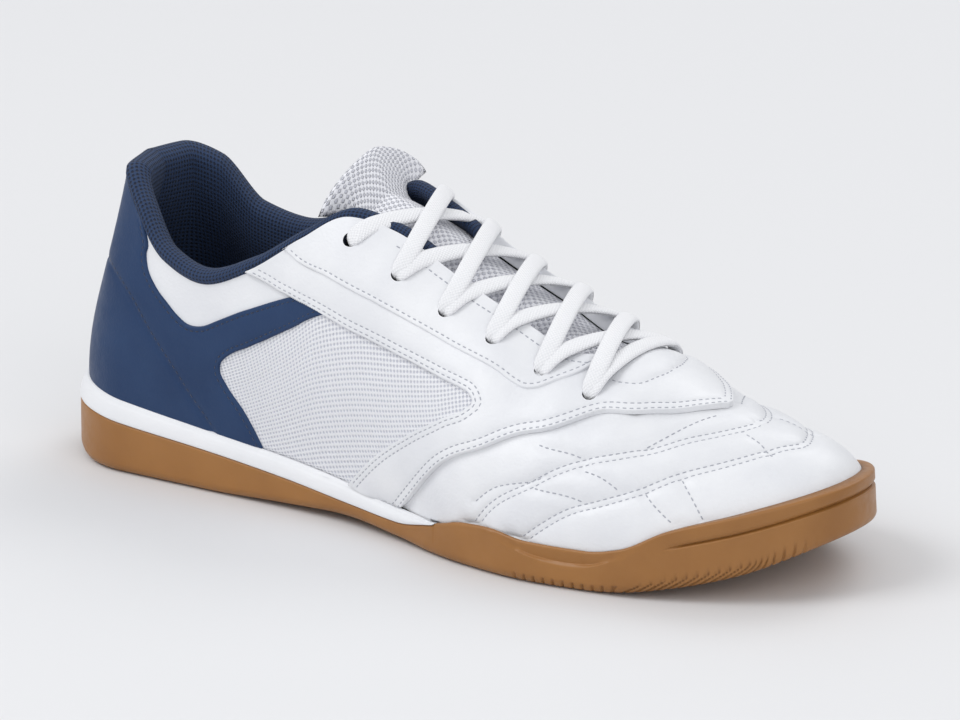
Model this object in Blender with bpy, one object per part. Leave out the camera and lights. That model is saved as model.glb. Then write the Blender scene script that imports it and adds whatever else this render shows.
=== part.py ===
"""Indoor soccer shoe for the right foot.

The toe points along +X, the medial side lies on +Y and the floor is z = 0.
The origin is the middle of the heel's flat tread.
"""
import math

import bmesh
import bpy
import numpy as np
from mathutils import Matrix, Vector

# Driving sizes, in metres
LENGTH = 0.290
BALL_WIDTH = 0.100
COLLAR_HEIGHT = 0.0975
SOLE_HEIGHT = 0.0275
WALL = 0.0022
GAP = 0.0003
HEEL_REST = 0.035

# Shares of the length where the outline rounds off, and how far the toe swings to the medial side
HEEL_ROUND = 0.105
TOE_ROUND = 0.20
SWING_START = 0.62
SWING_POWER = 1.6
TOE_SWING = 0.03
TOE_POWER = 2.4


def smooth_through(stations, values, at):
    """Values at the stations, joined by a smooth curve that never overshoots a row."""
    at = np.clip(np.asarray(at, float), stations[0], stations[-1])
    step = np.diff(stations)
    slope = np.diff(values) / step
    heavy = 2 * step[1:] + step[:-1]
    light = step[1:] + 2 * step[:-1]
    turning = slope[:-1] * slope[1:] <= 0
    before = np.where(turning, 1.0, slope[:-1])
    after = np.where(turning, 1.0, slope[1:])
    mean = (heavy + light) / (heavy / before + light / after)
    tangent = np.concatenate([slope[:1], np.where(turning, 0.0, mean), slope[-1:]])
    row = np.clip(np.searchsorted(stations, at, side="right") - 1, 0, len(step) - 1)
    share = (at - stations[row]) / step[row]
    rise = share * share * (3 - 2 * share)
    pull = (1 - share) * tangent[row] - share * tangent[row + 1]
    return values[row] * (1 - rise) + values[row + 1] * rise + step[row] * share * (1 - share) * pull


class Table:
    """A short table with named columns. The first column is the station."""

    def __init__(self, columns, rows):
        self.columns = dict(zip(columns, np.array(rows, float).T))
        self.stations = self.columns[columns[0]]

    def __call__(self, column, at):
        return smooth_through(self.stations, self.columns[column], at)


# Half widths of the sole, as shares of the ball width
OUTLINE = Table(("at", "lateral", "medial"), (
    (0.00, 0.330, 0.330),
    (0.12, 0.335, 0.340),
    (0.25, 0.335, 0.325),
    (0.38, 0.345, 0.310),
    (0.50, 0.405, 0.345),
    (0.60, 0.480, 0.430),
    (0.68, 0.505, 0.490),
    (0.78, 0.475, 0.495),
    (0.88, 0.410, 0.465),
    (1.00, 0.350, 0.430),
))

# Heights of the sole as shares of the sole height, and insets from the outline as shares of the ball width
SOLE = Table(("at", "bottom", "gum", "top", "floor", "edge", "seat"), (
    (0.00, 0.110, 0.720, 1.000, 0.870, 0.020, 0.040),
    (0.06, 0.000, 0.680, 0.940, 0.810, 0.018, 0.038),
    (0.12, 0.000, 0.610, 0.865, 0.740, 0.016, 0.036),
    (0.22, 0.000, 0.520, 0.745, 0.630, 0.014, 0.034),
    (0.34, 0.055, 0.385, 0.610, 0.500, 0.012, 0.032),
    (0.42, 0.090, 0.285, 0.497, 0.410, 0.012, 0.030),
    (0.50, 0.040, 0.250, 0.405, 0.355, 0.010, 0.028),
    (0.55, 0.000, 0.355, 0.390, 0.345, 0.006, 0.025),
    (0.60, 0.000, 0.510, 0.515, 0.345, 0.004, 0.024),
    (0.64, 0.000, 0.550, 0.550, 0.345, 0.004, 0.024),
    (0.69, 0.000, 0.490, 0.490, 0.345, 0.004, 0.024),
    (0.76, 0.000, 0.485, 0.485, 0.355, 0.004, 0.024),
    (0.80, 0.030, 0.560, 0.560, 0.380, 0.006, 0.025),
    (0.85, 0.120, 0.820, 0.820, 0.450, 0.008, 0.028),
    (0.92, 0.310, 1.040, 1.040, 0.640, 0.012, 0.033),
    (1.00, 0.670, 1.280, 1.280, 0.980, 0.016, 0.040),
))

# Ribs of the last run from the seat to the top line. x is a share of the length, half of the ball
# width, and each side's height of the collar height. Leans are degrees, outward at the seat and
# inward at the top. Pulls are shares of the rib's chord.
RIB = Table(("at", "x", "half", "lateral", "medial", "low_lean", "top_lean", "low_pull", "top_pull"), (
    (0.00, 0.066, 0.000, 0.985, 0.985, 3, 12, 0.34, 0.34),
    (0.05, 0.080, 0.147, 0.980, 0.985, 3, 12, 0.34, 0.34),
    (0.10, 0.115, 0.233, 0.890, 0.935, 6, 8, 0.34, 0.34),
    (0.15, 0.160, 0.283, 0.760, 0.780, 8, 4, 0.34, 0.34),
    (0.20, 0.215, 0.300, 0.713, 0.743, 6, 4, 0.34, 0.34),
    (0.26, 0.280, 0.290, 0.785, 0.800, 6, 10, 0.34, 0.34),
    (0.32, 0.345, 0.255, 0.910, 0.910, 6, 24, 0.34, 0.34),
    (0.37, 0.395, 0.205, 0.990, 0.990, 6, 40, 0.34, 0.36),
    (0.42, 0.445, 0.170, 0.955, 0.955, 7, 52, 0.34, 0.38),
    (0.50, 0.515, 0.155, 0.850, 0.850, 8, 58, 0.34, 0.40),
    (0.60, 0.600, 0.155, 0.743, 0.743, 10, 62, 0.34, 0.38),
    (0.68, 0.680, 0.145, 0.650, 0.650, 12, 68, 0.34, 0.36),
    (0.74, 0.738, 0.000, 0.645, 0.645, 12, 88, 0.34, 0.36),
    (0.82, 0.795, 0.000, 0.578, 0.578, 14, 87, 0.33, 0.35),
    (0.90, 0.850, 0.000, 0.530, 0.530, 14, 85, 0.33, 0.35),
    (1.00, 0.895, 0.000, 0.495, 0.495, 12, 80, 0.36, 0.38),
))
THROAT_END = 0.74
CURVED_BY = 1e-4
WELD = 2e-5


def station(along):
    """Share of the length at an even step around the outline."""
    return (1 - np.cos(math.pi * np.asarray(along, float))) / 2


def along_of(share):
    """Even step around the outline for a share of the length."""
    return np.arccos(1 - 2 * np.asarray(share, float)) / math.pi


def swing_at(share):
    swung = np.clip((share - SWING_START) / (1 - SWING_START), 0, None)
    return TOE_SWING * BALL_WIDTH * swung ** SWING_POWER


def outline_at(share, side):
    heel = np.sqrt(np.clip(1 - np.clip(1 - share / HEEL_ROUND, 0, 1) ** 2, 0, 1))
    toe = np.sqrt(np.clip(1 - np.clip((share - 1 + TOE_ROUND) / TOE_ROUND, 0, 1) ** TOE_POWER, 0, 1))
    half = OUTLINE("lateral" if side < 0 else "medial", share) * BALL_WIDTH * heel * toe
    return share * LENGTH, swing_at(share) + side * half


def around(along, side):
    """A point of the outline, where a step past the heel or toe goes on along the other side."""
    crossed = (along < 0) | (along > 1)
    share = station(np.where(along < 0, -along, np.where(along > 1, 2 - along, along)))
    own = np.stack(outline_at(share, side), -1)
    return np.where(crossed[..., None], np.stack(outline_at(share, -side), -1), own)


def inward_at(share, side):
    """Plan direction that points from the outline into the shoe."""
    along = along_of(share)
    run = around(along + CURVED_BY, side) - around(along - CURVED_BY, side)
    size = np.linalg.norm(run, axis=-1)
    return side * run[..., 1] / size, -side * run[..., 0] / size


def inset_outline(share, side, inset):
    x, y = outline_at(share, side)
    across, along = inward_at(share, side)
    return x + across * inset, y + along * inset


def rib_point(share, side, up):
    """A point of the last's outer surface, up from the seat to the top line."""
    share, up = np.broadcast_arrays(np.asarray(share, float), np.asarray(up, float))
    x, y = inset_outline(share, side, SOLE("seat", share) * BALL_WIDTH)
    seat = np.stack([x, y, SOLE("floor", share) * SOLE_HEIGHT + GAP], -1)
    top_x = RIB("x", share)
    top_y = swing_at(top_x) + side * RIB("half", share) * BALL_WIDTH
    top_z = RIB("lateral" if side < 0 else "medial", share) * COLLAR_HEIGHT
    top = np.stack([top_x * LENGTH, top_y, top_z], -1)
    across, along = inward_at(share, side)
    low = np.radians(RIB("low_lean", share))
    high = np.radians(RIB("top_lean", share))
    leave = np.stack([-across * np.sin(low), -along * np.sin(low), np.cos(low)], -1)
    arrive = np.stack([across * np.sin(high), along * np.sin(high), np.cos(high)], -1)
    chord = np.linalg.norm(top - seat, axis=-1)
    first = seat + leave * (RIB("low_pull", share) * chord)[..., None]
    second = top - arrive * (RIB("top_pull", share) * chord)[..., None]
    u = up[..., None]
    v = 1 - u
    return v ** 3 * seat + 3 * v * v * u * first + 3 * v * u * u * second + u ** 3 * top


# Pieces of the upper, in metres
OVERLAY = 0.0010
PADDING = 0.0050
ROLL_HEIGHT = 0.0042
INSOLE = 0.0040
INSOLE_RINGS = ((0.0, 0.0), (0.0, 0.75), (0.25, 1.0))
TONGUE = 0.0040
TONGUE_RISE = 0.017
TONGUE_WIDTH = 0.052
EYELET_HOLE = 0.0044
EYELET_HALF_SPAN = 0.0240
EYELET_FIRST = 0.405
EYELET_LAST = 0.716
EYELETS = 6
EYELET_SIDES = 8
EYELET_REACH = 5 * WALL
LACE_WIDTH = 0.0066
LACE_THICKNESS = 0.0022

# Pieces of the sole, in metres
TREAD_ROUND = 0.0035
TREAD_ROUND_MIDDLE = (0.2, 0.4)
TREAD_DEPTH = 0.0012
TREAD_GROOVE = 0.0020
SIDE_SLOT = 0.0016
LEDGE_DEPTH = 0.0010
LEDGE_LEANS = (0.3, 0.4, 0.5)
LEDGE_SHARE = 0.66
LEDGE_HALF = 0.05
LEDGE_START = 0.80
LEDGE_FULL = 0.86
MIDSOLE_END = 0.50
MIDSOLE_LAP = 0.006
MIDSOLE_MIDDLE = (0.3, 0.5)
SOLE_JOINT = (MIDSOLE_END - 0.3 * MIDSOLE_LAP, MIDSOLE_END + 2 * MIDSOLE_LAP)
CHEVRON_SLOPE = 0.45
SLOT_HEIGHT = 0.0045
SLOT_FIRST = 0.58
SLOT_LAST = 0.955
SLOTS = 13
SLOT_SLOPE = 1.0

# Grooves of the tread: first and last share of the length, how many, and reach as a share of the ball width
TREAD_FIELDS = (
    (0.045, 0.095, 2, 0.22),
    (0.150, 0.235, 3, 0.24),
    (0.550, 0.600, 2, 0.32),
    (0.660, 0.780, 4, 0.36),
)

# Stations around the outline, and levels from the seat (-1) past the sole's top line (0) to the top (1)
EVEN_STATIONS = 23
STATIONS_APART = 0.012
COLLAR_END = 0.380
THROAT_FRONT = (0.690, 0.706, 0.720, 0.732, THROAT_END)
KEY_STATIONS = (COLLAR_END, *SOLE_JOINT, *THROAT_FRONT)
LEVELS = (-1.0, 0.0, 0.13, 0.26, 0.39, 0.51, 0.63, 0.75, 0.88, 1.0)
OVERLAY_LEVELS = (0.03, 0.13, 0.26, 0.39, 0.51, 0.63, 0.75, 0.88, 1.0)
PADDING_LEVELS = (0.51, 0.63, 0.75, 0.88, 1.0)
SIDES = (-1, 1)

# Colour, roughness and metallic value of each piece
FINISHES = {
    "outsole": ((0.500, 0.235, 0.065), 0.45, 0.0),
    "midsole": ((0.800, 0.810, 0.830), 0.50, 0.0),
    "insole": ((0.030, 0.050, 0.100), 0.90, 0.0),
    "upper": ((0.820, 0.830, 0.850), 0.42, 0.0),
    "heel_counter": ((0.020, 0.045, 0.120), 0.48, 0.0),
    "quarter_strap": ((0.830, 0.840, 0.860), 0.42, 0.0),
    "eyestay_lateral": ((0.840, 0.850, 0.870), 0.42, 0.0),
    "eyestay_medial": ((0.840, 0.850, 0.870), 0.42, 0.0),
    "padded_collar": ((0.015, 0.035, 0.095), 0.90, 0.0),
    "tongue": ((0.780, 0.790, 0.830), 0.85, 0.0),
    "laces": ((0.860, 0.865, 0.880), 0.75, 0.0),
}


# How far up the rib the sole's top line can lie, and how often the search halves
LINE_REACH = 0.7
LINE_HALVINGS = 24


def find_line(share, side):
    """How far up its rib the sole's top line crosses the upper."""
    goal = SOLE("top", share) * SOLE_HEIGHT
    low = np.zeros_like(goal)
    high = np.full_like(goal, LINE_REACH)
    for _ in range(LINE_HALVINGS):
        middle = (low + high) / 2
        under = rib_point(share, side, middle)[..., 2] < goal
        low = np.where(under, middle, low)
        high = np.where(under, high, middle)
    return high


LINE_ALONGS = np.linspace(0, 1, 241)
LINES = {side: find_line(station(LINE_ALONGS), side) for side in SIDES}


def level_point(along, side, level):
    share = station(along)
    line = np.interp(along, LINE_ALONGS, LINES[side])
    up = np.where(level < 0, line * (1 + level), line + (1 - line) * level)
    return rib_point(share, side, up)


def wrapped_point(along, side, level):
    """A point of the surface, where a step past the heel, toe or ridge goes on over the other side."""
    crossed = (along < 0) | (along > 1) | (level > 1)
    along = np.where(along < 0, -along, np.where(along > 1, 2 - along, along))
    level = np.where(level > 1, 2 - level, level)
    own = level_point(along, side, level)
    if not np.any(crossed):
        return own
    return np.where(crossed[..., None], level_point(along, -side, level), own)


def skin(along, side, level, depth=0.0):
    """Point of the upper, sunk by a depth along the inward normal. A negative depth stands proud."""
    along, level = np.broadcast_arrays(np.asarray(along, float), np.asarray(level, float))
    ridge = (station(along) >= THROAT_END - CURVED_BY) & (along < 1 - CURVED_BY)
    above = np.where(ridge, level + CURVED_BY, np.minimum(level + CURVED_BY, 1))
    below = np.maximum(level - CURVED_BY, -1)
    under = np.minimum(level, 1 - CURVED_BY)
    forward = wrapped_point(along + CURVED_BY, side, under) - wrapped_point(along - CURVED_BY, side, under)
    upward = wrapped_point(along, side, above) - wrapped_point(along, side, below)
    normal = -side * np.cross(forward, upward)
    normal = normal / np.linalg.norm(normal, axis=-1, keepdims=True)
    return wrapped_point(along, side, level) - normal * np.asarray(depth)[..., None]


def stations_between(first, last, extra=()):
    """Even stations in a range of shares of the length, with its ends and the extra ones in it."""
    wanted = [along_of(share) for share in (first, last, *extra) if first <= share <= last]
    even = [along for along in np.linspace(0, 1, EVEN_STATIONS) if wanted[0] < along < wanted[1]]
    clear = [along for along in even if min(abs(along - other) for other in wanted) > STATIONS_APART]
    return np.array(sorted(wanted + clear))


def grid(alongs, path, side):
    """Points of one side, a row for each station and a column for each level and depth of the path."""
    levels = np.array([level for level, _ in path])
    depths = np.array([depth for _, depth in path])
    return skin(alongs[:, None], side, levels[None, :], depths[None, :] + 0 * alongs[:, None])


def new_object(name, mesh_data, collection):
    mesh = bpy.data.meshes.new(name)
    mesh_data.to_mesh(mesh)
    mesh_data.free()
    thing = bpy.data.objects.new(name, mesh)
    collection.objects.link(thing)
    return thing


def add_finish(thing):
    colour, roughness, metallic = FINISHES[thing.name]
    material = bpy.data.materials.new(thing.name)
    material.use_nodes = True
    shader = material.node_tree.nodes["Principled BSDF"]
    shader.inputs["Base Color"].default_value = (*colour, 1.0)
    shader.inputs["Roughness"].default_value = roughness
    shader.inputs["Metallic"].default_value = metallic
    material.diffuse_color = (*colour, 1.0)
    thing.data.materials.append(material)


def add_split_face(body, low, low_next, high_next, high):
    """Two triangles, always split from the lower near corner to the higher far one."""
    if low.co.z > high.co.z:
        body.faces.new((low, low_next, high))
        body.faces.new((low_next, high_next, high))
    else:
        body.faces.new((low, low_next, high_next))
        body.faces.new((low, high_next, high))


def loft(name, halves, collection, closed=True, rim=None, ridge=(), caps=()):
    """Solid through sections. Each half is a grid of stations by path points, and both halves weld.

    A closed path runs around its section. An open one is joined across, from half to half, at both
    of its ends. The rim is the path point that starts the open edge, which the ridge stations lack.
    """
    body = bmesh.new()
    rows = [[[body.verts.new(point) for point in row] for row in half] for half in halves]
    for half in rows:
        steps = len(half[0]) if closed else len(half[0]) - 1
        for here, there in zip(range(len(half) - 1), range(1, len(half))):
            for step in range(steps):
                after = (step + 1) % len(half[0])
                if step == rim and here in ridge and there in ridge:
                    continue
                near, far = half[here], half[there]
                add_split_face(body, near[step], far[step], far[after], near[after])
        if closed:
            for cap in caps:
                body.faces.new(half[cap])
    if not closed:
        for end in (0, -1):
            for here, there in zip(range(len(rows[0]) - 1), range(1, len(rows[0]))):
                left = rows[0][here][end], rows[0][there][end]
                body.faces.new((*left, rows[1][there][end], rows[1][here][end]))
        for cap in caps:
            body.faces.new(rows[0][cap] + rows[1][cap][::-1])
    bmesh.ops.remove_doubles(body, verts=body.verts, dist=WELD)
    bmesh.ops.dissolve_degenerate(body, edges=body.edges, dist=WELD / 10)
    bmesh.ops.recalc_face_normals(body, faces=body.faces)
    thing = new_object(name, body, collection)
    return thing


def side_prism(name, points, cutters):
    """Cutter that runs through both sides. Its points are shares of the length and collar height."""
    body = bmesh.new()
    reach = BALL_WIDTH
    corners = [body.verts.new((x * LENGTH, -reach, z * COLLAR_HEIGHT)) for x, z in points]
    face = body.faces.new(corners)
    pushed = bmesh.ops.extrude_face_region(body, geom=[face])["geom"]
    moved = [part for part in pushed if isinstance(part, bmesh.types.BMVert)]
    bmesh.ops.translate(body, verts=moved, vec=(0, 2 * reach, 0))
    bmesh.ops.recalc_face_normals(body, faces=body.faces)
    return new_cutter(name, body, cutters)


def new_cutter(name, body, cutters):
    thing = new_object(name, body, cutters)
    thing.hide_render = True
    thing.display_type = "WIRE"
    return thing


def apply_cut(thing, cutter, operation):
    change = thing.modifiers.new(cutter.name, "BOOLEAN")
    change.object = cutter
    change.operation = operation
    change.solver = "EXACT"


def edge_point(share, side, inset, height):
    x, y = inset_outline(share, side, inset)
    return np.stack([x, y, np.broadcast_to(height, np.shape(x))], -1)


def rim_path(alongs, side, levels):
    """Inner face of the sole's rim, a gap away from the upper, from the top line down to the floor."""
    face = grid(alongs, [(level, -GAP) for level in levels], side)
    face[:, -1, 2] = SOLE("floor", station(alongs)) * SOLE_HEIGHT
    return face


def make_outsole(parts, cutters):
    alongs = stations_between(0, 1, KEY_STATIONS)
    share = station(alongs)
    covered = share <= MIDSOLE_END
    bottom = SOLE("bottom", share) * SOLE_HEIGHT
    gum = SOLE("gum", share) * SOLE_HEIGHT
    top = np.where(covered, gum, SOLE("top", share) * SOLE_HEIGHT)
    edge = np.where(covered, 0.0, SOLE("edge", share) * BALL_WIDTH)
    leans = [lean * edge for lean in LEDGE_LEANS]
    tread_top = bottom + TREAD_ROUND
    round_in, round_up = (middle * TREAD_ROUND for middle in TREAD_ROUND_MIDDLE)
    cut_in = LEDGE_DEPTH * np.clip((share - LEDGE_START) / (LEDGE_FULL - LEDGE_START), 0, 1)
    halves = []
    for side in SIDES:
        outer = [
            edge_point(share, side, TREAD_ROUND, bottom),
            edge_point(share, side, round_in, bottom + round_up),
            edge_point(share, side, 0 * share, tread_top),
            edge_point(share, side, leans[0], tread_top + (LEDGE_SHARE - LEDGE_HALF) * (top - tread_top)),
            edge_point(share, side, leans[1] + cut_in, tread_top + LEDGE_SHARE * (top - tread_top)),
            edge_point(share, side, leans[2], tread_top + (LEDGE_SHARE + LEDGE_HALF) * (top - tread_top)),
            edge_point(share, side, edge, top),
        ]
        rim = rim_path(alongs, side, (0.0, -0.5, -1.0))
        flat = rim.copy()
        flat[:, :, 2] = gum[:, None]
        rim = np.where(covered[:, None, None], flat, rim)
        halves.append(np.concatenate([np.stack(outer, 1), rim], 1))
    sole = loft("outsole", halves, parts, closed=False)
    apply_cut(sole, make_tread_cutter(cutters), "DIFFERENCE")
    return sole


def add_bar(body, start, end, width, low, high):
    """A box along a line in plan, for a groove of the tread."""
    start = np.array(start, float)
    end = np.array(end, float)
    middle = (start + end) / 2
    run = end - start
    length = np.linalg.norm(run)
    made = bmesh.ops.create_cube(body, size=1.0)["verts"]
    bmesh.ops.scale(body, vec=(length, width, high - low), verts=made)
    turn = math.atan2(run[1], run[0])
    spin = ((math.cos(turn), -math.sin(turn), 0), (math.sin(turn), math.cos(turn), 0), (0, 0, 1))
    bmesh.ops.rotate(body, matrix=Matrix(spin), verts=made)
    bmesh.ops.translate(body, vec=(middle[0], middle[1], (low + high) / 2), verts=made)


def make_tread_cutter(cutters):
    """Chevron grooves under the heel and ball, and short slots along the side of the tread."""
    body = bmesh.new()
    for first, last, count, spread in TREAD_FIELDS:
        for share in np.linspace(first, last, count):
            x = share * LENGTH
            middle = swing_at(share)
            for side in SIDES:
                reach = spread * BALL_WIDTH
                start = (x, middle + side * 0.03 * BALL_WIDTH)
                end = (x + CHEVRON_SLOPE * reach, middle + side * reach)
                add_bar(body, start, end, TREAD_GROOVE, -TREAD_DEPTH, TREAD_DEPTH)
    for side in SIDES:
        for share in np.linspace(SLOT_FIRST, SLOT_LAST, SLOTS):
            bottom = float(SOLE("bottom", share)) * SOLE_HEIGHT
            x, y = outline_at(share, side)
            across, along = inward_at(share, side)
            slope = SLOT_SLOPE * float(np.clip((share - SLOT_FIRST) / (SLOT_LAST - SLOT_FIRST), 0, 1))
            out = np.array([x - across * SIDE_SLOT - slope * SIDE_SLOT, y - along * SIDE_SLOT])
            into = np.array([x + across * 2 * SIDE_SLOT + slope * SIDE_SLOT, y + along * 2 * SIDE_SLOT])
            add_bar(body, out, into, SIDE_SLOT, bottom - TREAD_DEPTH, bottom + SLOT_HEIGHT)
    return new_cutter("tread_cutter", body, cutters)


def make_midsole(parts):
    alongs = stations_between(0, MIDSOLE_END - MIDSOLE_LAP, KEY_STATIONS)
    share = station(alongs)
    gum = SOLE("gum", share) * SOLE_HEIGHT + GAP
    top = SOLE("top", share) * SOLE_HEIGHT
    edge = SOLE("edge", share) * BALL_WIDTH
    halves = []
    for side in SIDES:
        inner = rim_path(alongs, side, (0.0, -0.5, -1.0))
        under = inner[:, -1].copy()
        under[:, 2] = gum
        outer = [
            under,
            edge_point(share, side, 0 * share, gum),
            edge_point(share, side, MIDSOLE_MIDDLE[0] * edge, gum + MIDSOLE_MIDDLE[1] * (top - gum)),
            edge_point(share, side, edge, top),
        ]
        halves.append(np.concatenate([np.stack(outer, 1), inner], 1))
    return loft("midsole", halves, parts, closed=False, caps=(-1,))


def make_insole(parts):
    alongs = stations_between(0, 1, KEY_STATIONS)
    floor = SOLE("floor", station(alongs)) * SOLE_HEIGHT + GAP
    halves = []
    for side in SIDES:
        ring = grid(alongs, [(-1.0, WALL + 2 * GAP)], side)[:, 0]
        rows = []
        for inset, height in INSOLE_RINGS:
            row = ring.copy()
            across, along = inward_at(station(alongs), side)
            row[:, 0] += across * inset * INSOLE
            row[:, 1] += along * inset * INSOLE
            row[:, 2] = floor + height * INSOLE
            rows.append(row)
        halves.append(np.stack(rows, 1))
    return loft("insole", halves, parts, closed=False)


def make_upper(parts, holes):
    alongs = stations_between(0, 1, KEY_STATIONS)
    path = [(level, 0.0) for level in LEVELS] + [(level, WALL) for level in LEVELS[::-1]]
    halves = [grid(alongs, path, side) for side in SIDES]
    ridge = set(np.flatnonzero(station(alongs) >= THROAT_END - CURVED_BY))
    upper = loft("upper", halves, parts, rim=len(LEVELS) - 1, ridge=ridge)
    apply_cut(upper, holes, "DIFFERENCE")
    return upper


def make_overlay(name, outline, span, sides, parts, cutters, holes=None):
    """A leather panel over the upper, cut from a layer that follows it."""
    alongs = stations_between(*span, KEY_STATIONS)
    near = -GAP
    far = -GAP - OVERLAY
    path = [(level, far) for level in OVERLAY_LEVELS] + [(level, near) for level in OVERLAY_LEVELS[::-1]]
    halves = [grid(alongs, path, side) for side in sides]
    ridge = set(np.flatnonzero(station(alongs) >= THROAT_END - CURVED_BY))
    caps = (-1,) if span[0] == 0 else (0, -1)
    panel = loft(name, halves, parts, rim=len(OVERLAY_LEVELS) - 1, ridge=ridge, caps=caps)
    apply_cut(panel, side_prism(name + "_outline", outline, cutters), "INTERSECT")
    if holes:
        apply_cut(panel, holes, "DIFFERENCE")
    return panel


# Roll of the padded collar over the leather edge: depth as (fixed part, share of wall and padding), and
# rise as a share of the roll's height
ROLL = (
    ((0.0, 0.30), 0.14),
    ((-0.0003, 0.0), 0.14),
    ((-0.0004, 0.0), 0.50),
    ((0.0, 0.18), 0.88),
    ((0.0, 0.50), 1.00),
    ((0.0, 0.80), 0.72),
)
PADDING_SHARES = (1.0, 1.0, 0.85, 0.55, 0.25)
PADDING_THINS = 0.22
PADDING_LOSS = 0.8
COLLAR_CLEAR = 1.7 * GAP

# Rows of the tongue: extra depth as a share of the padding, how far its edge reaches down the ribs, and
# the arch over the throat as a share of the ball width
TONGUE_ROWS = Table(("at", "sink", "reach", "crown"), (
    (0.375, 0.62, 0.98, 0.075),
    (0.42, 0.42, 0.93, 0.070),
    (0.48, 0.15, 0.86, 0.060),
    (0.55, 0.10, 0.82, 0.050),
    (0.61, 0.10, 0.82, 0.042),
    (0.68, 0.10, 0.83, 0.030),
    (0.74, 0.10, 0.85, 0.000),
    (0.79, 0.10, 0.86, 0.000),
))
TONGUE_POINTS = 9
TONGUE_SIDE_POINTS = 5
TONGUE_ARCH_GAP = 4 * TONGUE
TONGUE_STEPS = 13
TONGUE_TOP_ROWS = 4
TONGUE_LEAN = (-0.70, 0.78)
TONGUE_CORNER = 0.42
TONGUE_CORNER_POWER = 3
TONGUE_PINCH = 0.36
LACE_RISE = 0.0115
LACE_CROSS = 0.0012
LACE_LIFT = 0.0010
LACE_ARCH = 0.68
LACE_SLOPE = 3
LACE_STEPS = 9
LACE_SIDES = 6

# Seams of the panels seen from the side, as shares of the length and of the collar height
STRAP_LOW = ((0.240, 0.815), (0.263, 0.765), (0.3334, 0.733), (0.3797, 0.699))
STRAP_HIGH = ((0.290, 0.930), (0.326, 0.873), (0.629, 0.5805))
WINDOW = ((0.5745, 0.556), (0.594, 0.540), (0.575, 0.500), (0.490, 0.345), (0.422, 0.140), (0.400, -0.05))
THROAT_SEAM = ((0.653, 0.566), (0.697, 0.617), (0.716, 0.720))
VAMP_SEAM = ((0.833, 0.540), (0.768, 0.5415), (0.727, 0.519), (0.665, 0.4615), (0.620, 0.396),
             (0.559, 0.2995), (0.483, 0.110), (0.440, -0.05))
COUNTER_SPAN = (0.0, 0.42)
STRAP_SPAN = (0.0, 0.92)
EYESTAY_SPAN = (0.26, 0.73)
COUNTER = ((-0.07, -0.2), (-0.07, 1.3), (0.125, 1.3), (0.1386, 0.764), (0.2097, 0.564), (0.3334, 0.728),
           (0.3797, 0.694), (0.2445, 0.440), (0.3107, 0.176), (0.345, 0.04), (0.345, -0.2))
STRAP_TOP = ((0.740, 0.850), (0.833, 0.850))
STRAP = (*STRAP_HIGH, *THROAT_SEAM, *STRAP_TOP, *VAMP_SEAM, *WINDOW[::-1], *STRAP_LOW[::-1])
EYESTAY = ((0.280, 1.3), (0.280, 0.965), (0.326, 0.879), (0.629, 0.5865), (0.653, 0.572), (0.697, 0.624),
           (0.712, 0.720), (0.60, 1.3))


def padding_at(share):
    """Thickness of the collar's padding, which thins out toward the throat."""
    fade = np.clip((share - PADDING_THINS) / (COLLAR_END - PADDING_THINS), 0, 1)
    return PADDING * (1 - PADDING_LOSS * fade)


def make_padded_collar(parts):
    """Padded lining that lies inside the upper and rolls over its top edge."""
    alongs = stations_between(0, COLLAR_END, KEY_STATIONS)
    share = station(alongs)
    padding = padding_at(share)
    outside = WALL + COLLAR_CLEAR
    halves = []
    for side in SIDES:
        columns = [skin(alongs, side, level, outside + 0 * alongs) for level in PADDING_LEVELS]
        top = skin(alongs, side, 1.0)
        rising = top - skin(alongs, side, 1.0 - 100 * CURVED_BY)
        rising = rising / np.linalg.norm(rising, axis=-1, keepdims=True)
        for depth, rise in ROLL:
            sunk = skin(alongs, side, 1.0, depth[0] + depth[1] * (outside + padding))
            columns.append(sunk + rising * rise * ROLL_HEIGHT)
        for level, thick in zip(PADDING_LEVELS[::-1], PADDING_SHARES):
            columns.append(skin(alongs, side, level, outside + thick * padding))
        halves.append(np.stack(columns, 1))
    return loft("padded_collar", halves, parts, caps=(-1,))


def even_row(points, count):
    """Points at even steps along a line through the given points."""
    steps = np.linalg.norm(np.diff(points, axis=0), axis=1)
    travelled = np.concatenate([[0.0], np.cumsum(steps)])
    wanted = np.linspace(0, travelled[-1], count)
    return np.stack([np.interp(wanted, travelled, points[:, axis]) for axis in range(3)], 1)


def tongue_row(share, depth, reach, crown):
    """One arched section of the tongue, from edge to edge under the throat."""
    along = along_of(share)
    levels = np.linspace(reach, 1.0, TONGUE_SIDE_POINTS)
    lateral = skin(along, -1, levels, depth + 0 * levels)
    medial = skin(along, 1, levels, depth + 0 * levels)
    middle = (lateral[-1] + medial[-1]) / 2
    middle[2] += crown
    gap = np.linalg.norm(lateral[-1] - medial[-1])
    arch = [middle] if gap > TONGUE_ARCH_GAP else []
    return even_row(np.array([*lateral, *arch, *medial[::-1]]), TONGUE_POINTS)


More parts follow.
